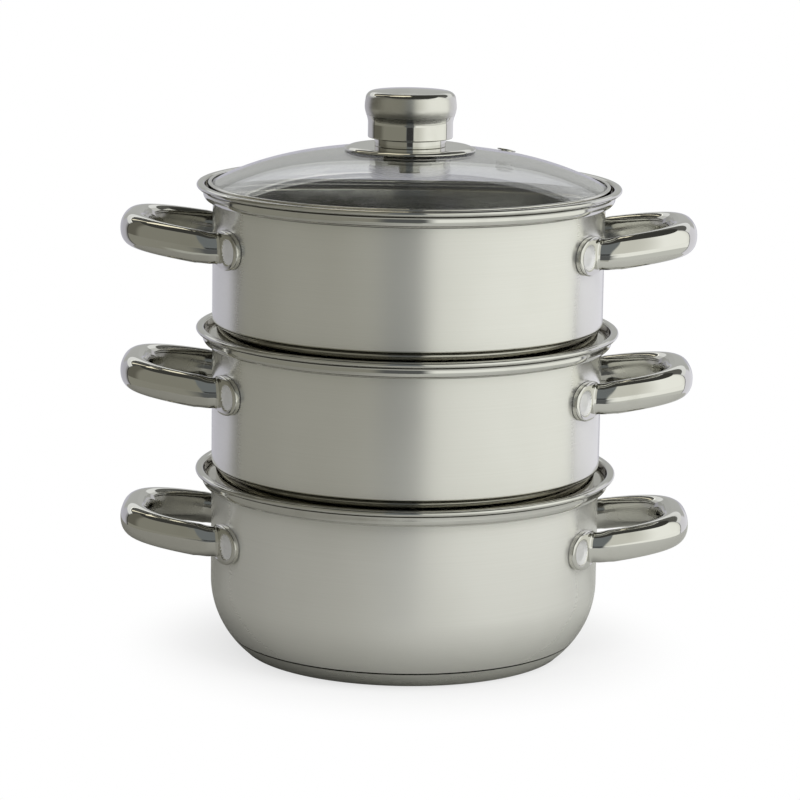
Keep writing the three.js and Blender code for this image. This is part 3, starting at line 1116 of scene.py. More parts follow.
class Vessel(SubAssembly):
    """A vessel with a pair of handles."""

    # a tier's lower end, which sits in the collar below, gets the painted shade
    low_coat = Coat.SEAT

    def __init__(self, body: str, name: str, shell: str) -> None:
        """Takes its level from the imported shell.

        Args:
            body: Body that the vessel rides on.
            name: Word that its pieces' names start with.
            shell: Node of its shell.
        """
        super().__init__(body)
        self.name = name
        self.shell = shell
        self.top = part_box(shell)[1].z

    def coat_at(self, place: Vector, normal: Vector, neck_top: float) -> Coat:
        """Finish that a place on the shell has.

        Args:
            place: Middle of a face.
            normal: Direction in which the face looks.
            neck_top: Height below which the outside has the low coat.

        Returns:
            The finish.
        """
        ledge = self.top - WALL.collar_depth - WALL.sheet
        radius, height = place.xy.length, place.z
        inwards = place.xy.dot(normal.xy) < 0
        if height > ledge - WALL.polish_margin:
            fold = self.top - WALL.lip_thickness - WALL.lip_flare
            under = height < ledge + WALL.seat_margin
            folded = height > fold and radius < WALL.collar + WALL.lip_flare and not inwards
            # creases that face down under the ledge and the lip's fold get the painted shade
            if normal.z < FACES_DOWN and (under or folded):
                return Coat.GROOVE
            well = radius < WALL.bore + WALL.seat_margin
            # the collar's well and ledge get the painted shade
            return Coat.SEAT if well and (inwards or normal.z > FACES_UP) else Coat.RIM
        # insides and floors get the duller steel with painted shade
        if inwards or (normal.z > FACES_UP and radius < WALL.inner):
            return Coat.INSIDE
        return self.low_coat if height < neck_top else Coat.WALL

    def coat(self, piece: Object, neck_top: float) -> None:
        """Gives a shell its satin wall and polished rim, a duller inside with painted shade, and painted
        shade on the seats and in the grooves.

        Args:
            piece: The shell.
            neck_top: Height below which the outside has the low coat.
        """
        for finish in (RIM, INSIDE, SEAT, GROOVE):
            piece.data.materials.append(finish.material())
        for face in piece.data.polygons:
            face.material_index = self.coat_at(face.center, face.normal, neck_top)

    def build_handles(self) -> None:
        """Makes the pair of handles."""
        for side in Side:
            node = f"{self.name}_handle_{side.name.lower()}"
            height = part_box(node)[0].z + HANDLE.lobe_height / 2
            piece = HANDLE.piece(f"{self.name}_grip_{side.name.lower()}", side, height)
            self.add(node, piece, Slot.POLISHED, MIRROR)
            HANDLE.coat(piece, side, height)


@dataclass(frozen=True)
class PanSizes:
    """Sizes of the pan's lower half and of its sandwich base."""

    foot_radius: float = 74.2 * MM
    bowl_start: float = 32.8 * MM
    inner_knee: float = 14 * MM
    seam_height: float = 7.85 * MM
    seam_gap: float = 0.8 * MM
    core: float = 3.6 * MM
    cap_sheet: float = 0.8 * MM
    cap_ease: float = 0.5 * MM
    cap_toe_share: float = 0.7
    cap_toe_rise_share: float = 0.2
    bond_gap: float = 0.3 * MM
    # the painted shade in the seam stops this far below the seam
    groove_margin: float = 0.05 * MM

    @property
    def shell_base(self) -> float:
        """Height of the shell's underside."""
        return self.cap_sheet + 2 * self.bond_gap + self.core

    @property
    def bowl_radius(self) -> float:
        """Radius of the lower wall's arc."""
        inset = WALL.radius - self.foot_radius
        return (inset ** 2 + self.bowl_start ** 2) / (2 * inset)

    @property
    def bowl_middle(self) -> float:
        """Distance of the arc's middle from the axis."""
        return WALL.radius - self.bowl_radius

    def angle(self, height: float, inset: float) -> float:
        """Angle at which the arc, drawn in by an inset, stands at a height."""
        return -math.asin((self.bowl_start - height) / (self.bowl_radius - inset))

    def bowl(self, inset: float, start: float, end: float, steps: int) -> list[Point]:
        """Stretch of the lower wall's arc, drawn in by an inset."""
        return arc((self.bowl_middle, self.bowl_start), self.bowl_radius - inset, start, end, steps)


class Pan(Vessel):
    """Casserole pan at the bottom, with its sandwich base."""

    # the pan's outside below the seam, in the gap to the base cap, gets the painted shade
    low_coat = Coat.GROOVE

    def __init__(self) -> None:
        """Names the pan's body and nodes."""
        super().__init__("pan", "pan", "pan_shell")
        self.sizes = PanSizes()

    def shell_outline(self) -> list[Point]:
        """Outline of the deep-drawn pan.

        Returns:
            The points, from the middle of the underside round to the middle of the inside.
        """
        s = self.sizes
        drawn = s.cap_sheet + s.bond_gap
        floor = s.shell_base + WALL.sheet
        knee_height = floor + s.inner_knee
        drop = s.bowl_start - knee_height
        run = math.sqrt((s.bowl_radius - WALL.sheet - s.inner_knee) ** 2 - drop ** 2)
        knee = (s.bowl_middle + run, knee_height)
        knee_angle = -math.atan2(drop, run)
        return [
            (0, s.shell_base),
            *s.bowl(drawn, s.angle(s.shell_base, drawn), s.angle(s.seam_height, drawn), 3),
            *s.bowl(0, s.angle(s.seam_height, 0), EAST, 24),
            *WALL.rim(self.top),
            *s.bowl(WALL.sheet, EAST, knee_angle, 24),
            *arc(knee, s.inner_knee, knee_angle, SOUTH, 12),
            (0, floor),
        ]

    def cap_outline(self) -> list[Point]:
        """Outline of the stainless cap under the base.

        Returns:
            The points, from the middle of the underside round to the middle of the upper side.
        """
        s = self.sizes
        low = s.angle(s.cap_ease, 0)
        top = s.seam_height - s.seam_gap
        edge = s.bowl_middle + s.bowl_radius * math.cos(low)
        return [
            (0, 0),
            (edge - 2 * s.cap_ease, 0),
            (edge - s.cap_toe_share * s.cap_ease, s.cap_toe_rise_share * s.cap_ease),
            *s.bowl(0, low, s.angle(top, 0), 10),
            *s.bowl(s.cap_sheet, s.angle(top, s.cap_sheet), s.angle(s.cap_sheet, s.cap_sheet), 6),
            (0, s.cap_sheet),
        ]

    def build(self) -> None:
        """Makes the shell, the base cap and the handles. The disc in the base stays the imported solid."""
        shell = turned("drawn_pan", self.shell_outline(), VESSEL_SIDES)
        self.add("pan_shell", shell, Slot.BRUSHED, PAN_SATIN)
        self.coat(shell, self.sizes.seam_height - self.sizes.groove_margin)
        cap = turned("base_plate", self.cap_outline(), VESSEL_SIDES)
        self.add("pan_base_cap", cap, Slot.BRUSHED, SATIN)
        self.build_handles()


@dataclass(frozen=True)
class SeatSizes:
    """Sizes of a tier's lower end, which sits in the collar below, and of its steam holes."""

    seat_gap: float = 0.3 * MM
    shoulder_lift: float = 1.9 * MM
    shoulder_bend: float = 2 * MM
    neck_inset: float = 2 * MM
    bead_bend: float = 1.6 * MM
    bead_clearance: float = 1.4 * MM
    skirt_depth: float = 5 * MM
    skirt_clearance: float = 0.6 * MM
    skirt_bend: float = 2.4 * MM
    hole_radius: float = 2.5 * MM
    hole_ease: float = 0.25 * MM
    mouth_shares: tuple[float, ...] = (0.0, 0.35, 1.0)
    ring_pitch: float = 22 * MM
    rings: int = 3
    holes_per_step: int = 6
    hole_sides: int = 28
    # the painted shade on a tier's lower end stops this far below the shoulder's top
    neck_margin: float = 0.1 * MM


class SteamerTier(Vessel):
    """Perforated tier that sits in the collar of the vessel below."""

    def __init__(self, name: str) -> None:
        """Names the tier's body and nodes.

        Args:
            name: Word that tells the tier from the other one.
        """
        super().__init__(f"{name}_steamer", name, f"{name}_steamer_shell")
        self.sizes = SeatSizes()
        self.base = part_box(self.shell)[0].z + self.sizes.skirt_depth

    def shoulder_top(self) -> float:
        """Height at which the shoulder has reached the wall."""
        s = self.sizes
        return self.base + s.shoulder_lift + WALL.collar_depth - s.seat_gap + s.shoulder_bend

    def shell_outline(self) -> list[Point]:
        """Outline of the shell from the floor's underside, up the outside and back down to the floor.

        Returns:
            The points.
        """
        s = self.sizes
        skirt = WALL.inner - s.skirt_clearance
        bend = (skirt - s.skirt_bend, self.base + s.skirt_bend - s.skirt_depth)
        bead = (WALL.bore - s.bead_clearance - s.bead_bend, self.base + s.bead_bend)
        neck = WALL.radius - s.neck_inset
        shoulder = self.shoulder_top()
        inner_neck = neck - WALL.sheet
        bead_top = self.base + 2 * s.bead_bend
        return [
            *arc(bend, s.skirt_bend, SOUTH, EAST, 8),
            (skirt, self.base),
            *arc(bead, s.bead_bend, SOUTH, NORTH, 12),
            (neck, bead_top),
            *arc((neck, shoulder), s.shoulder_bend, SOUTH, EAST, 8),
            *WALL.rim(self.top),
            (WALL.inner, shoulder),
            (inner_neck, shoulder - s.shoulder_bend + WALL.sheet),
            (inner_neck, bead_top - WALL.sheet),
            *arc(bead, s.bead_bend - WALL.sheet, NORTH, SOUTH, 8),
            (skirt - WALL.sheet, self.base + WALL.sheet),
            *arc(bend, s.skirt_bend - WALL.sheet, EAST, SOUTH, 6),
        ]

    def holes(self) -> list[Vector]:
        """Middles of the steam holes: one on the axis, then rings that each hold a step more.

        Returns:
            The middles.
        """
        s = self.sizes
        places = [Vector((0, 0))]
        for ring in range(1, s.rings + 1):
            count = ring * s.holes_per_step
            for i in range(count):
                turn = 2 * math.pi * i / count
                places.append(Vector((math.cos(turn), math.sin(turn))) * (ring * s.ring_pitch))
        return places

    def floor_face(self, skin: Skin, radius: float, height: float, away: float) -> None:
        """Adds one side of the floor, with the eased mouths of its holes.

        Args:
            skin: Skin that takes the faces.
            radius: Radius of the flat floor.
            height: Height of this side.
            away: 1 where this side faces up, -1 where it faces down.
        """
        s = self.sizes
        outside = [p.xy for p in circle(radius - HOLD, 0, VESSEL_SIDES)]
        edge = skin.ring(circle(radius, height, VESSEL_SIDES))
        skin.bridge(edge, skin.ring([Vector((*p, height)) for p in outside]))
        flat = circle(s.hole_radius + s.hole_ease + HOLD, 0, s.hole_sides)
        mouths = [[p.xy + hole for p in flat] for hole in self.holes()]
        points = outside + [p for mouth in mouths for p in mouth]
        loops = [list(range(len(outside)))]
        for i in range(len(mouths)):
            first = len(outside) + i * s.hole_sides
            loops.append(list(range(first, first + s.hole_sides)))
        corners, _, faces, *_ = delaunay_2d_cdt(points, [], loops, 0, MERGE)
        numbers = skin.ring([Vector((*p, height)) for p in corners])
        for face in faces:
            middle = sum((corners[i] for i in face), Vector((0, 0))) / len(face)
            if all((middle - hole).length > s.hole_radius for hole in self.holes()):
                skin.faces.append(tuple(numbers[i] for i in face))
        for hole, mouth in zip(self.holes(), mouths):
            rings = [skin.ring([Vector((*p, height)) for p in mouth])]
            for share in s.mouth_shares:
                inset = s.hole_radius + s.hole_ease * (1 - math.sin(NORTH * share))
                sunk = height - away * s.hole_ease * (1 - math.cos(NORTH * share))
                rings.append(self.hole_ring(skin, hole, inset, sunk))
            for a, b in zip(rings, rings[1:]):
                skin.bridge(a, b)

    def hole_ring(self, skin: Skin, hole: Vector, radius: float, height: float) -> list[int]:
        """Adds a level ring round the middle of a steam hole.

        Args:
            skin: Skin that takes the ring.
            hole: Middle of the hole.
            radius: Radius of the ring.
            height: Height of the ring.

        Returns:
            The numbers of its points.
        """
        places = circle(radius, height, self.sizes.hole_sides)
        return skin.ring([Vector((*(p.xy + hole), height)) for p in places])

    def build(self) -> None:
        """Makes the perforated shell and the handles."""
        s = self.sizes
        outline = self.shell_outline()
        low, high = outline[0], outline[-1]
        skin = Skin()
        turn_on(skin, outline, VESSEL_SIDES, False)
        self.floor_face(skin, low[0], low[1], -1.0)
        self.floor_face(skin, high[0], high[1], 1.0)
        for hole in self.holes():
            ends = (low[1] + s.hole_ease, high[1] - s.hole_ease)
            skin.bridge(*[self.hole_ring(skin, hole, s.hole_radius, height) for height in ends])
        shell = skin.finished(f"{self.name}_tier")
        self.add(self.shell, shell, Slot.BRUSHED, SATIN)
        self.coat(shell, self.shoulder_top() - s.neck_margin)
        self.build_handles()


@dataclass(frozen=True)
class LidSizes:
    """Sizes of the glass, its band and its steam vent."""

    clearance: float = 1.4 * MM
    band_height: float = 7.2 * MM
    band_sheet: float = 0.6 * MM
    band_lap: float = 1.7 * MM
    band_foot: float = 1.7 * MM
    band_foot_lap: float = 2.4 * MM
    band_round: float = 0.6 * MM
    glass_gap: float = 0.3 * MM
    glass: float = 4 * MM
    rise: float = 16.7 * MM
    power: float = 2.8
    hole: float = 5.5 * MM
    edge_round: float = 0.8 * MM
    dome_steps: int = 60
    vent_distance: float = 59 * MM
    vent_bearing: float = math.radians(40)
    vent_hole: float = 3.1 * MM
    vent_tube: float = 2.7 * MM
    vent_bore: float = 2 * MM
    vent_flange: float = 4.4 * MM
    vent_sheet: float = 0.6 * MM
    vent_washer: float = 0.8 * MM
    vent_washer_ease: float = 0.15 * MM
    vent_roll: float = 3.7 * MM
    gap: float = 0.3 * MM


@dataclass(frozen=True)
class KnobSizes:
    """Sizes of the knob and of what holds it to the glass."""

    gap: float = 0.3 * MM
    disc_radius: float = 30.2 * MM
    disc_sheet: float = 0.8 * MM
    disc_drop: float = 1.1 * MM
    disc_bead: float = 0.6 * MM
    disc_roll: float = 3 * MM
    disc_roll_angle: float = math.radians(65)
    disc_roll_steps: int = 12
    disc_under_steps: int = 9
    disc_curl: float = math.radians(210)
    disc_hole: float = 4.6 * MM
    ring_gap: float = 0.05 * MM
    ring_radius: float = 16.4 * MM
    ring_bore: float = 12 * MM
    ring_height: float = 3.2 * MM
    cap_lower: float = 19.4 * MM
    cap_upper: float = 21 * MM
    lower_height: float = 6.6 * MM
    step_height: float = 7.4 * MM
    height: float = 22.2 * MM
    shoulder: float = 3.6 * MM
    barrel: float = 0.35 * MM
    dome: float = 1 * MM
    slope_steps: int = 14
    barrel_steps: int = 6
    sheet: float = 0.8 * MM
    screw: float = 2 * MM
    clearance: float = 0.3 * MM
    screw_reach: float = 12 * MM
    thread_pitch: float = 0.7 * MM
    thread_depth: float = 0.25 * MM
    thread_start: int = 2
    head_radius: float = 4.8 * MM
    head_height: float = 2.8 * MM
    slot_width: float = 1.2 * MM
    slot_depth: float = 1.2 * MM
    washer_radius: float = 10 * MM
    washer: float = 0.8 * MM
    gasket_radius: float = 12 * MM
    gasket: float = 1.2 * MM
    gasket_collar: float = 5.2 * MM
    ease: float = 0.25 * MM


def eased_ring(inner: float, outer: float, low: float, high: float, ease: float) -> list[Point]:
    """Closed outline of a flat ring with rounded edges.

    Args:
        inner: Radius of the ring's hole.
        outer: Radius of its outside.
        low: Height of its underside.
        high: Height of its upper side.
        ease: Radius of its edges.

    Returns:
        The outline's points.
    """
    return [
        *arc((inner + ease, low + ease), ease, WEST, WEST + NORTH, 4),
        *arc((outer - ease, low + ease), ease, SOUTH, EAST, 4),
        *arc((outer - ease, high - ease), ease, EAST, NORTH, 4),
        *arc((inner + ease, high - ease), ease, NORTH, WEST, 4),
    ]


class Lid(SubAssembly):
    """Domed glass lid with its band, steam vent and knob."""

    def __init__(self) -> None:
        """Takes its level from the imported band."""
        super().__init__("lid")
        self.sizes = LidSizes()
        self.knob = KnobSizes()
        self.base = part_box("lid_rim_band")[0].z
        self.band_radius = WALL.bore - self.sizes.clearance
        self.glass_radius = self.band_radius - self.sizes.band_sheet - self.sizes.glass_gap
        self.edge_top = self.base + self.sizes.band_foot + self.sizes.glass_gap + self.sizes.glass

    def glass_height(self, r: float) -> float:
        """Height of the glass's upper face at a distance from the axis."""
        return self.edge_top + self.sizes.rise * (1 - (r / self.glass_radius) ** self.sizes.power)

    def disc_top(self) -> float:
        """Height of the flat middle of the disc under the knob."""
        k = self.knob
        return self.glass_height(k.disc_radius) + k.gap + k.disc_sheet + k.disc_drop

    def cap_low(self) -> float:
        """Height of the lower edge of the knob's cap."""
        return self.disc_top() + self.knob.ring_height + 2 * self.knob.gap

    def vent_frame(self) -> Matrix:
        """Place of the vent, square to the glass.

        Returns:
            The place, with its origin on the glass's upper face.
        """
        s = self.sizes
        share = s.vent_distance / self.glass_radius
        slope = s.rise * s.power * share ** (s.power - 1) / self.glass_radius
        turn = Matrix.Rotation(s.vent_bearing, 4, "Z")
        tilt = Matrix.Rotation(math.atan(slope), 4, "Y")
        return turn @ Matrix.Translation((s.vent_distance, 0, self.glass_height(s.vent_distance))) @ tilt

    def build_glass(self) -> None:
        """Makes the dome with its two holes and rounded edge."""
        s = self.sizes
        ease = s.edge_round
        edge = self.glass_radius - ease
        radii = [blend(edge, s.hole, i / s.dome_steps) for i in range(s.dome_steps + 1)]
        upper = [(r, self.glass_height(r)) for r in radii]
        lower = [(r, z - s.glass) for r, z in reversed(upper)]
        rounded = [
            *arc((edge, lower[-1][1] + ease), ease, SOUTH, EAST, 5)[1:],
            *arc((edge, upper[0][1] - ease), ease, EAST, NORTH, 5)[:-1],
        ]
        glass = turned("domed_glass", [*lower, *rounded, *upper], VESSEL_SIDES, True)
        reach = 2 * s.glass
        cut(glass, drill(self.vent_frame(), s.vent_hole, -reach, reach, SMALL_SIDES))
        self.add("lid_glass", glass, Slot.GLASS, GLASS)

    def build_band(self) -> None:
        """Makes the steel band folded round the glass."""
        s = self.sizes
        low, top = self.base, self.base + s.band_height
        inner = self.band_radius - s.band_sheet
        ease = s.band_round
        lap = self.band_radius - s.band_lap
        foot = self.band_radius - s.band_foot_lap
        lip = s.band_sheet / 2
        outline = [
            *arc((foot + lip, low + lip), lip, WEST, WEST + NORTH, 4),
            *arc((self.band_radius - ease, low + ease), ease, SOUTH, EAST, 5),
            *arc((self.band_radius - ease, top - ease), ease, EAST, NORTH, 5),
            *arc((lap + lip, top - lip), lip, NORTH, WEST + NORTH, 6),
            (inner, top - s.band_sheet),
            (inner, low + s.band_foot),
            (foot, low + s.band_foot),
        ]
        band = turned("rim_band", outline, VESSEL_SIDES, True)
        self.add("lid_rim_band", band, Slot.POLISHED, MIRROR)

    def build_vent(self) -> None:
        """Makes the vent's eyelet and the washer under the glass."""
        s = self.sizes
        washer_top = -s.glass - s.gap
        washer_low = washer_top - s.vent_washer
        roll_top = washer_low - s.gap
        roll = s.vent_sheet / 2
        outline = [
            (s.vent_bore, roll_top - roll),
            *arc((s.vent_bore + roll, roll_top - roll), roll, WEST, WEST + NORTH, 4)[1:],
            *arc((s.vent_roll - roll, roll_top - roll), roll, SOUTH, NORTH, 8),
            (s.vent_tube, roll_top),
            (s.vent_tube, s.gap),
            *arc((s.vent_flange - roll, s.gap + roll), roll, SOUTH, NORTH, 8),
            *arc((s.vent_bore + roll, s.gap + roll), roll, NORTH, WEST, 6),
        ]
        eyelet = turned("vent_eyelet", outline, SMALL_SIDES, True)
        ring = eased_ring(s.vent_tube + s.gap, s.vent_flange, washer_low, washer_top, s.vent_washer_ease)
        washer = turned("vent_washer", ring, SMALL_SIDES, True)
        for piece in (eyelet, washer):
            piece.data.transform(self.vent_frame())
        self.add("lid_vent_eyelet", eyelet, Slot.POLISHED, MIRROR)
        self.add("lid_vent_washer", washer, Slot.ZINC, ZINC)

    def build_knob(self) -> None:
        """Makes the disc, the neck ring and the cap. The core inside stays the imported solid."""
        k = self.knob
        disc_top = self.disc_top()
        disc = turned("knob_plate", self.disc_outline(disc_top), KNOB_SIDES, True)
        self.add("knob_disc", disc, Slot.POLISHED, SPUN)
        ring_top = disc_top + k.gap + k.ring_height
        ring = eased_ring(k.ring_bore, k.ring_radius, disc_top + k.ring_gap, ring_top, k.ease)
        self.add("knob_neck_ring", turned("neck_ring", ring, KNOB_SIDES, True), Slot.POLISHED, SPUN)
        cap = turned("knob_cover", self.cap_outline(self.cap_low()), KNOB_SIDES)
        self.add("knob_cap", cap, Slot.POLISHED, SPUN)
        cap.data.materials.append(CROWN.material())
        waist = self.cap_low() + k.lower_height + k.step_height / 2
        for face in cap.data.polygons:
            upper_wall = face.center.z > waist and abs(face.normal.z) < STANDS_UPRIGHT
            face.material_index = CapCoat.CROWN if upper_wall else CapCoat.SPUN

    def disc_outline(self, top: float) -> list[Point]:
        """Outline of the disc under the knob, with its rolled edge.

        Args:
            top: Height of the disc's flat middle.

        Returns:
            The outline, out along the underside and back along the top.
        """
        k = self.knob
        bead = (k.disc_radius - k.disc_bead, top - k.disc_drop - k.disc_sheet + k.disc_bead)
        start, fall = bead[0] - k.disc_roll, top - bead[1]
        rolled = []
        for i in range(k.disc_roll_steps):
            turn = k.disc_roll_angle * i / k.disc_roll_steps
            along = math.sin(turn) / math.sin(k.disc_roll_angle)
            down = (1 - math.cos(turn)) / (1 - math.cos(k.disc_roll_angle))
            rolled.append((start + k.disc_roll * along, top - fall * down))
        return [
            (k.disc_hole, top - k.disc_sheet),
            *[(r, z - k.disc_sheet) for r, z in rolled[:k.disc_under_steps]],
            *arc(bead, k.disc_bead, WEST, WEST + k.disc_curl, 10),
            *reversed(rolled),
            (k.disc_hole, top),
        ]

    def cap_outline(self, low: float) -> list[Point]:
        """Outline of the knob's spun cap.

        Args:
            low: Height of the cap's lower edge.

        Returns:
            The outline, over the outside to the axis and back along the inside.
        """
        k = self.knob
        top = low + k.height
        step_low = low + k.lower_height
        step_top = step_low + k.step_height
        shoulder = (k.cap_upper - k.barrel - k.shoulder, top - k.dome - k.shoulder)
        ways = [i / k.slope_steps for i in range(k.slope_steps + 1)]
        slope = [(blend(k.cap_lower, k.cap_upper, eased(way)), blend(step_low, step_top, way))
                 for way in ways]
        rise = shoulder[1] - step_top
        climbs = [i / k.barrel_steps for i in range(1, k.barrel_steps)]
        barrel = [(k.cap_upper - k.barrel * climb ** 2, step_top + rise * climb) for climb in climbs]
        crown = [(shoulder[0] * (1 - way), top - k.dome * (1 - way) ** 2) for way in ways]
        edge = k.sheet / 2
        inside = [(r - k.sheet, z) for r, z in reversed(slope)]
        return [
            *arc((k.cap_lower - edge, low + edge), edge, WEST, WEST + math.pi, 8),
            *slope,
            *barrel,
            *arc(shoulder, k.shoulder, EAST, NORTH, 14)[:-1],
            *crown,
            (0, top - k.sheet),
            (shoulder[0], top - k.dome - k.sheet),
            *arc(shoulder, k.shoulder - k.sheet, NORTH, EAST, 8)[1:],
            *inside,
            (k.cap_lower - k.sheet, low + edge),
        ]

    def build_fixing(self) -> None:
        """Makes the screw, the washer and the gasket under the glass."""
        k = self.knob
        apex = self.edge_top + self.sizes.rise
        gasket_top = apex - self.sizes.glass - k.gap
        washer_top = gasket_top - k.gasket - k.gap
        head_top = washer_top - k.washer - k.gap
        shank_top = self.cap_low() + k.screw_reach
        head_low = head_top - k.head_height
        hole = k.screw + k.clearance
        screw = turned("knob_fixing_screw", [
            (0, head_low),
            *arc((k.head_radius - 2 * k.ease, head_low + 2 * k.ease), 2 * k.ease, SOUTH, EAST, 5),
            *arc((k.head_radius - k.ease, head_top - k.ease), k.ease, EAST, NORTH, 4),
            (k.screw, head_top),
            *self.thread(head_top, shank_top - k.screw / 2),
            (k.screw / 2, shank_top),
            (0, shank_top),
        ], SMALL_SIDES)
        slot = Skin()
        half = Vector((2 * k.head_radius, k.slot_width / 2, k.slot_depth))
        ends = []
        for z in (-half.z, half.z):
            corners = ((-half.x, -half.y), (half.x, -half.y), (half.x, half.y), (-half.x, half.y))
            ends.append(slot.ring([Vector((x, y, head_low + z)) for x, y in corners]))
            slot.faces.append(tuple(ends[-1]))
        slot.bridge(*ends)
        cut(screw, slot.finished("screw_slot"))
        self.add("knob_screw", screw, Slot.ZINC, ZINC)
        ring = eased_ring(hole, k.washer_radius, washer_top - k.washer, washer_top, k.ease)
        self.add("knob_washer", turned("fixing_washer", ring, KNOB_SIDES, True), Slot.ZINC, ZINC)
        low = gasket_top - k.gasket
        gasket = turned("fixing_gasket", [
            (hole, low),
            *arc((k.gasket_radius - k.ease, low + k.ease), k.ease, SOUTH, EAST, 4),
            *arc((k.gasket_radius - k.ease, gasket_top - k.ease), k.ease, EAST, NORTH, 4),
            (k.gasket_collar, gasket_top),
            (k.gasket_collar, apex),
            (hole, apex),
        ], KNOB_SIDES, True)
        self.add("knob_gasket", gasket, Slot.SILICONE, SILICONE)

    def thread(self, low: float, high: float) -> list[Point]:
        """Outline of the screw's shank with a groove for each turn of its thread.

        Args:
            low: Height of the head's upper side.
            high: Height of the shank's end, below its point.

        Returns:
            The outline's points, upwards.
        """
        k = self.knob
        turns = int((high - low) / k.thread_pitch) - k.thread_start - 1
        points = [(k.screw, low + k.thread_start * k.thread_pitch)]
        for i in range(turns):
            z = low + (k.thread_start + i) * k.thread_pitch
            points.append((k.screw - k.thread_depth, z + k.thread_pitch / 2))
            points.append((k.screw, z + k.thread_pitch))
        return [*points, (k.screw, high)]

    def build(self) -> None:
        """Makes the lid's pieces."""
        self.build_glass()
        self.build_band()
        self.build_vent()
        self.build_knob()
        self.build_fixing()


def dress_hidden() -> None:
    """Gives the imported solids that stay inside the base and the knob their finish."""
    for node, finish in (("pan_base_core", BARE), ("knob_core", PHENOLIC)):
        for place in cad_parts[node].material_slots:
            place.material = finish.material()
        log.info("%s keeps its packed solid", node)


WHITE: Colour = (1.0, 1.0, 1.0)
BLACK: Colour = (0.0, 0.0, 0.0)
HORIZON = -7.5
ZONE_RIM = 0.5


@dataclass(frozen=True)
class Zone:
    """Patch of the studio's walls and ceiling, in degrees of bearing from the front and of height."""

    start: float
    end: float
    low: float
    high: float
    colour: Colour
    blur: float = 1.0


@dataclass(frozen=True)
class Lamp:
    """Soft square lamp, with the length of its side and its power in watts."""

    name: str
    place: tuple[float, float, float]
    size: float
    power: float


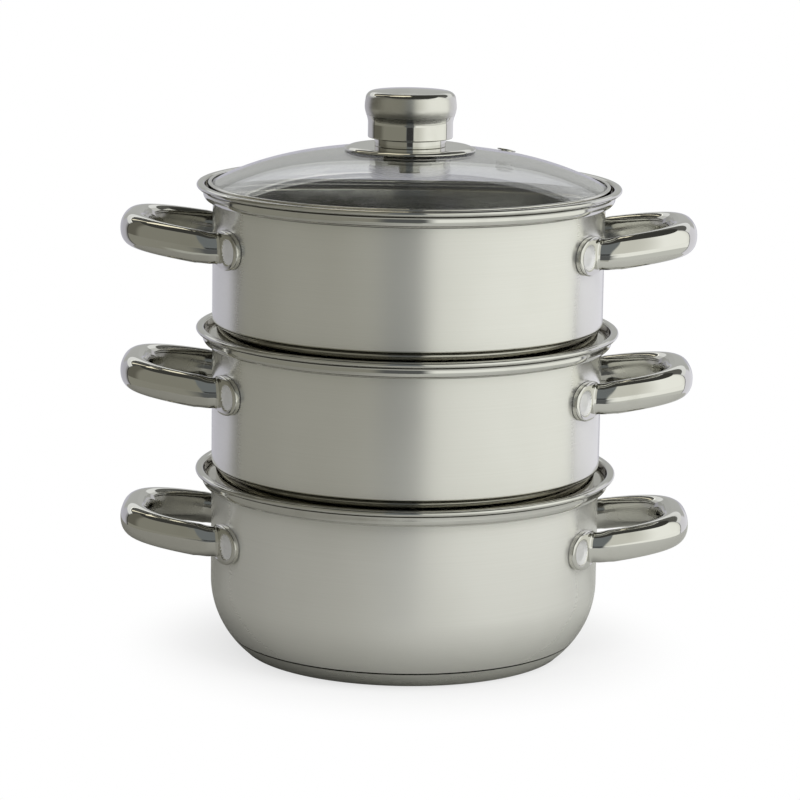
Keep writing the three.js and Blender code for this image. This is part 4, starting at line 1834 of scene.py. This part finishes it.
@dataclass(frozen=True)
class Studio:
    """Camera, floor, lamps and surroundings."""

    distance: float = 1.575
    elevation: float = math.radians(10.9)
    lens: float = 152.8
    sensor: float = 36.0
    clip: Point = (0.05, 50.0)
    target: Point = (-0.0028, 0.1165)
    roll: float = math.radians(0.9)
    lamps: tuple[Lamp, ...] = (
        Lamp("key", (0.9, -0.8, 1.4), 0.9, 14.0),
        Lamp("fill", (-0.9, -0.4, 1.5), 1.2, 5.0),
    )
    floor_radius: float = 0.37
    floor_drop: float = 0.2 * MM
    # Painted shade: steel and glass see the floor darker on the left, away from the key lamp, than on the
    # right.
    floor_left: Colour = (0.37, 0.365, 0.33)
    floor_right: Colour = (0.66, 0.665, 0.63)
    floor_split: Point = (-0.16, 0.10)
    floor_pale: Colour = (0.85, 0.85, 0.85)
    shadow_edge: Point = (0.07, 0.14)
    # Painted shadow: steel and glass see the floor darkened this much towards black round the pot.
    shadow_mirrored: float = 0.42
    shadow_seen: float = 0.3
    ambient: float = 0.45
    backdrop: Colour = (0.52, 0.515, 0.57)
    zones: tuple[Zone, ...] = (
        # dark left wall in front, its far end and its floor
        Zone(-118, 118, -95, 50, (0.26, 0.255, 0.213)),
        Zone(-124, -82, -95, 50, (0.14, 0.135, 0.11), 9.0),
        Zone(-118, 118, -95, HORIZON, (0.285, 0.28, 0.237), 0.3),
        Zone(-36, 8, -95, -24, (0.46, 0.465, 0.42), 10.0),
        # bright right wall and its floor
        Zone(8, 116, -95, 50, (0.70, 0.70, 0.635), 2.0),
        Zone(34, 116, -95, 50, (1.06, 1.07, 1.01), 18.0),
        Zone(8, 116, -95, HORIZON, (0.66, 0.67, 0.63), 0.3),
        Zone(8, 116, -17, HORIZON, (1.04, 1.05, 0.99), 1.0),
        # dark stripe between them, where the camera stands
        Zone(-11, 9, -24, 50, (0.175, 0.19, 0.195), 1.5),
        Zone(-16, 12, -24, -9, (0.11, 0.115, 0.115), 5.0),
        Zone(-10, 8, -7.8, -4.5, (0.04, 0.04, 0.04), 1.5),
        # black edges of the two walls
        Zone(-119, -116, -95, 50, (0.03, 0.03, 0.03)),
        Zone(115, 118, -95, 50, (0.03, 0.03, 0.03)),
        # pale walls behind, in bands up to the lamps' strip
        Zone(118, 165, -95, 45, (0.80, 0.795, 0.85), 4.0),
        Zone(-200, -150, 4, 18, (0.46, 0.465, 0.45), 4.0),
        Zone(150, 200, 4, 18, (0.48, 0.485, 0.47), 4.0),
        Zone(-200, -118, 18, 31, (0.86, 0.87, 0.86), 4.0),
        Zone(118, 200, 18, 31, (0.88, 0.89, 0.88), 4.0),
        Zone(-200, -118, 29.6, 31, (1.6, 1.6, 1.5), 0.5),
        Zone(-200, -118, 31, 50, (0.10, 0.10, 0.095), 2.0),
        Zone(118, 200, 31, 50, (0.13, 0.13, 0.12), 2.0),
        # dark ceiling with two warm lights
        Zone(-200, 200, 50, 95, (0.05, 0.05, 0.045)),
        Zone(-200, -118, 60, 80, (1.3, 1.22, 0.95)),
        Zone(-141, -134, 34, 62, (1.3, 1.22, 0.95)),
    )

    def build_camera(self) -> None:
        """Makes the camera where the photograph was taken from."""
        back = Vector((0, -math.cos(self.elevation), math.sin(self.elevation)))
        data = bpy.data.cameras.new("viewpoint")
        data.sensor_width = self.sensor
        data.lens = self.lens
        data.clip_start, data.clip_end = self.clip
        camera = bpy.data.objects.new("viewpoint", data)
        camera.location = Vector((self.target[0], 0, self.target[1])) + back * self.distance
        camera.rotation_mode = "QUATERNION"
        tilt = Quaternion((0, 0, 1), self.roll)
        camera.rotation_quaternion = (-back).to_track_quat("-Z", "Y") @ tilt
        bpy.context.scene.collection.objects.link(camera)
        bpy.context.scene.camera = camera

    def build_lamp(self, lamp: Lamp) -> None:
        """Makes a soft lamp that looks at the pot and is itself out of every picture.

        Args:
            lamp: The lamp's name, place, size and power.
        """
        data = bpy.data.lights.new(lamp.name, "AREA")
        data.size = lamp.size
        data.energy = lamp.power
        made = bpy.data.objects.new(lamp.name, data)
        made.location = lamp.place
        made.rotation_mode = "QUATERNION"
        aim = Vector((0, 0, self.target[1])) - Vector(lamp.place)
        made.rotation_quaternion = aim.to_track_quat("-Z", "Y")
        made.visible_camera = False
        made.visible_glossy = False
        made.visible_transmission = False
        bpy.context.scene.collection.objects.link(made)

    def build_floor(self) -> None:
        """Makes a pale round floor that is white to the camera but for the pot's shadow, and that steel and
        glass see with painted shade on its left and a painted shadow round the pot.
        """
        floor = turned("studio_floor", [(0, 0), (self.floor_radius, 0)], VESSEL_SIDES)
        floor.location.z = -self.floor_drop
        material = bpy.data.materials.new("studio_floor")
        graph = Graph(material)
        x, y, _ = graph.parts(graph.place())
        under = 1 - graph.step(graph.length(x, y), *self.shadow_edge)
        # painted shade, darker on the left side of the floor
        tint = graph.mix(graph.step(x, *self.floor_split), self.floor_left, self.floor_right)
        # painted shadow round the pot
        tint = graph.mix(self.shadow_mirrored * under, tint, BLACK)
        seen = graph.node("BsdfDiffuse", values={"Color": tint})
        pale = graph.node("BsdfDiffuse", values={"Color": (*self.floor_pale, 1.0)})
        white = graph.node("Emission", values={"Color": (*WHITE, 1.0)})
        # to the camera: white, with a share of lit pale floor round the pot where the lamps' real shadow
        # shows, greying it a little there as a painted shadow
        shown = graph.node("MixShader", values={
            0: self.shadow_seen * under,
            1: graph.out(white),
            2: graph.out(pale),
        })
        camera = graph.out(graph.node("LightPath"), "Is Camera Ray")
        both = graph.node("MixShader", values={0: camera, 1: graph.out(seen), 2: graph.out(shown)})
        graph.end(graph.out(both))
        floor.data.materials.append(material)

    def surroundings(self, graph: Graph) -> Signal:
        """Colour of the studio in each direction, as polished steel shows it.

        Args:
            graph: Nodes of the world.

        Returns:
            The colour.
        """
        x, y, z = graph.parts(graph.out(graph.node("TexCoord"), "Generated"))
        bearing = graph.math("DEGREES", graph.math("ARCTAN2", x, y * -1.0))
        height = graph.math("DEGREES", graph.math("ARCSINE", z))
        colour: Union[Signal, Colour] = self.backdrop
        for zone in self.zones:
            across = graph.band(bearing, zone.start, zone.end, zone.blur)
            upwards = graph.band(height, zone.low, zone.high, min(zone.blur, ZONE_RIM))
            colour = graph.mix(across * upwards, colour, zone.colour)
        return colour

    def build_world(self) -> None:
        """Makes the surroundings: white behind the pot, and the studio in steel and glass."""
        world = bpy.data.worlds.new("studio")
        bpy.context.scene.world = world
        world.cycles.sampling_method = "NONE"
        graph = Graph(world)
        path = graph.node("LightPath")
        rays = [graph.out(path, f"Is {kind} Ray") for kind in ("Glossy", "Transmission")]
        plain = (self.ambient,) * 3
        colour = graph.mix(graph.math("MAXIMUM", *rays), plain, self.surroundings(graph))
        colour = graph.mix(graph.out(path, "Is Camera Ray"), colour, WHITE)
        graph.end(graph.out(graph.node("Background", values={"Color": colour})), "OutputWorld")

    def build(self) -> None:
        """Makes the whole studio."""
        bpy.context.scene.view_settings.view_transform = "Standard"
        self.build_camera()
        self.build_world()
        self.build_floor()
        for lamp in self.lamps:
            self.build_lamp(lamp)
        log.info("the studio stands")


def main() -> None:
    """Builds and dresses the pot in its studio."""
    logging.basicConfig(level=logging.INFO, format="%(name)s: %(message)s")
    Studio().build()
    for assembly in (Pan(), SteamerTier("middle"), SteamerTier("top"), Lid()):
        assembly.build()
        assembly.dress()
    dress_hidden()


if __name__ == "__main__":
    main()
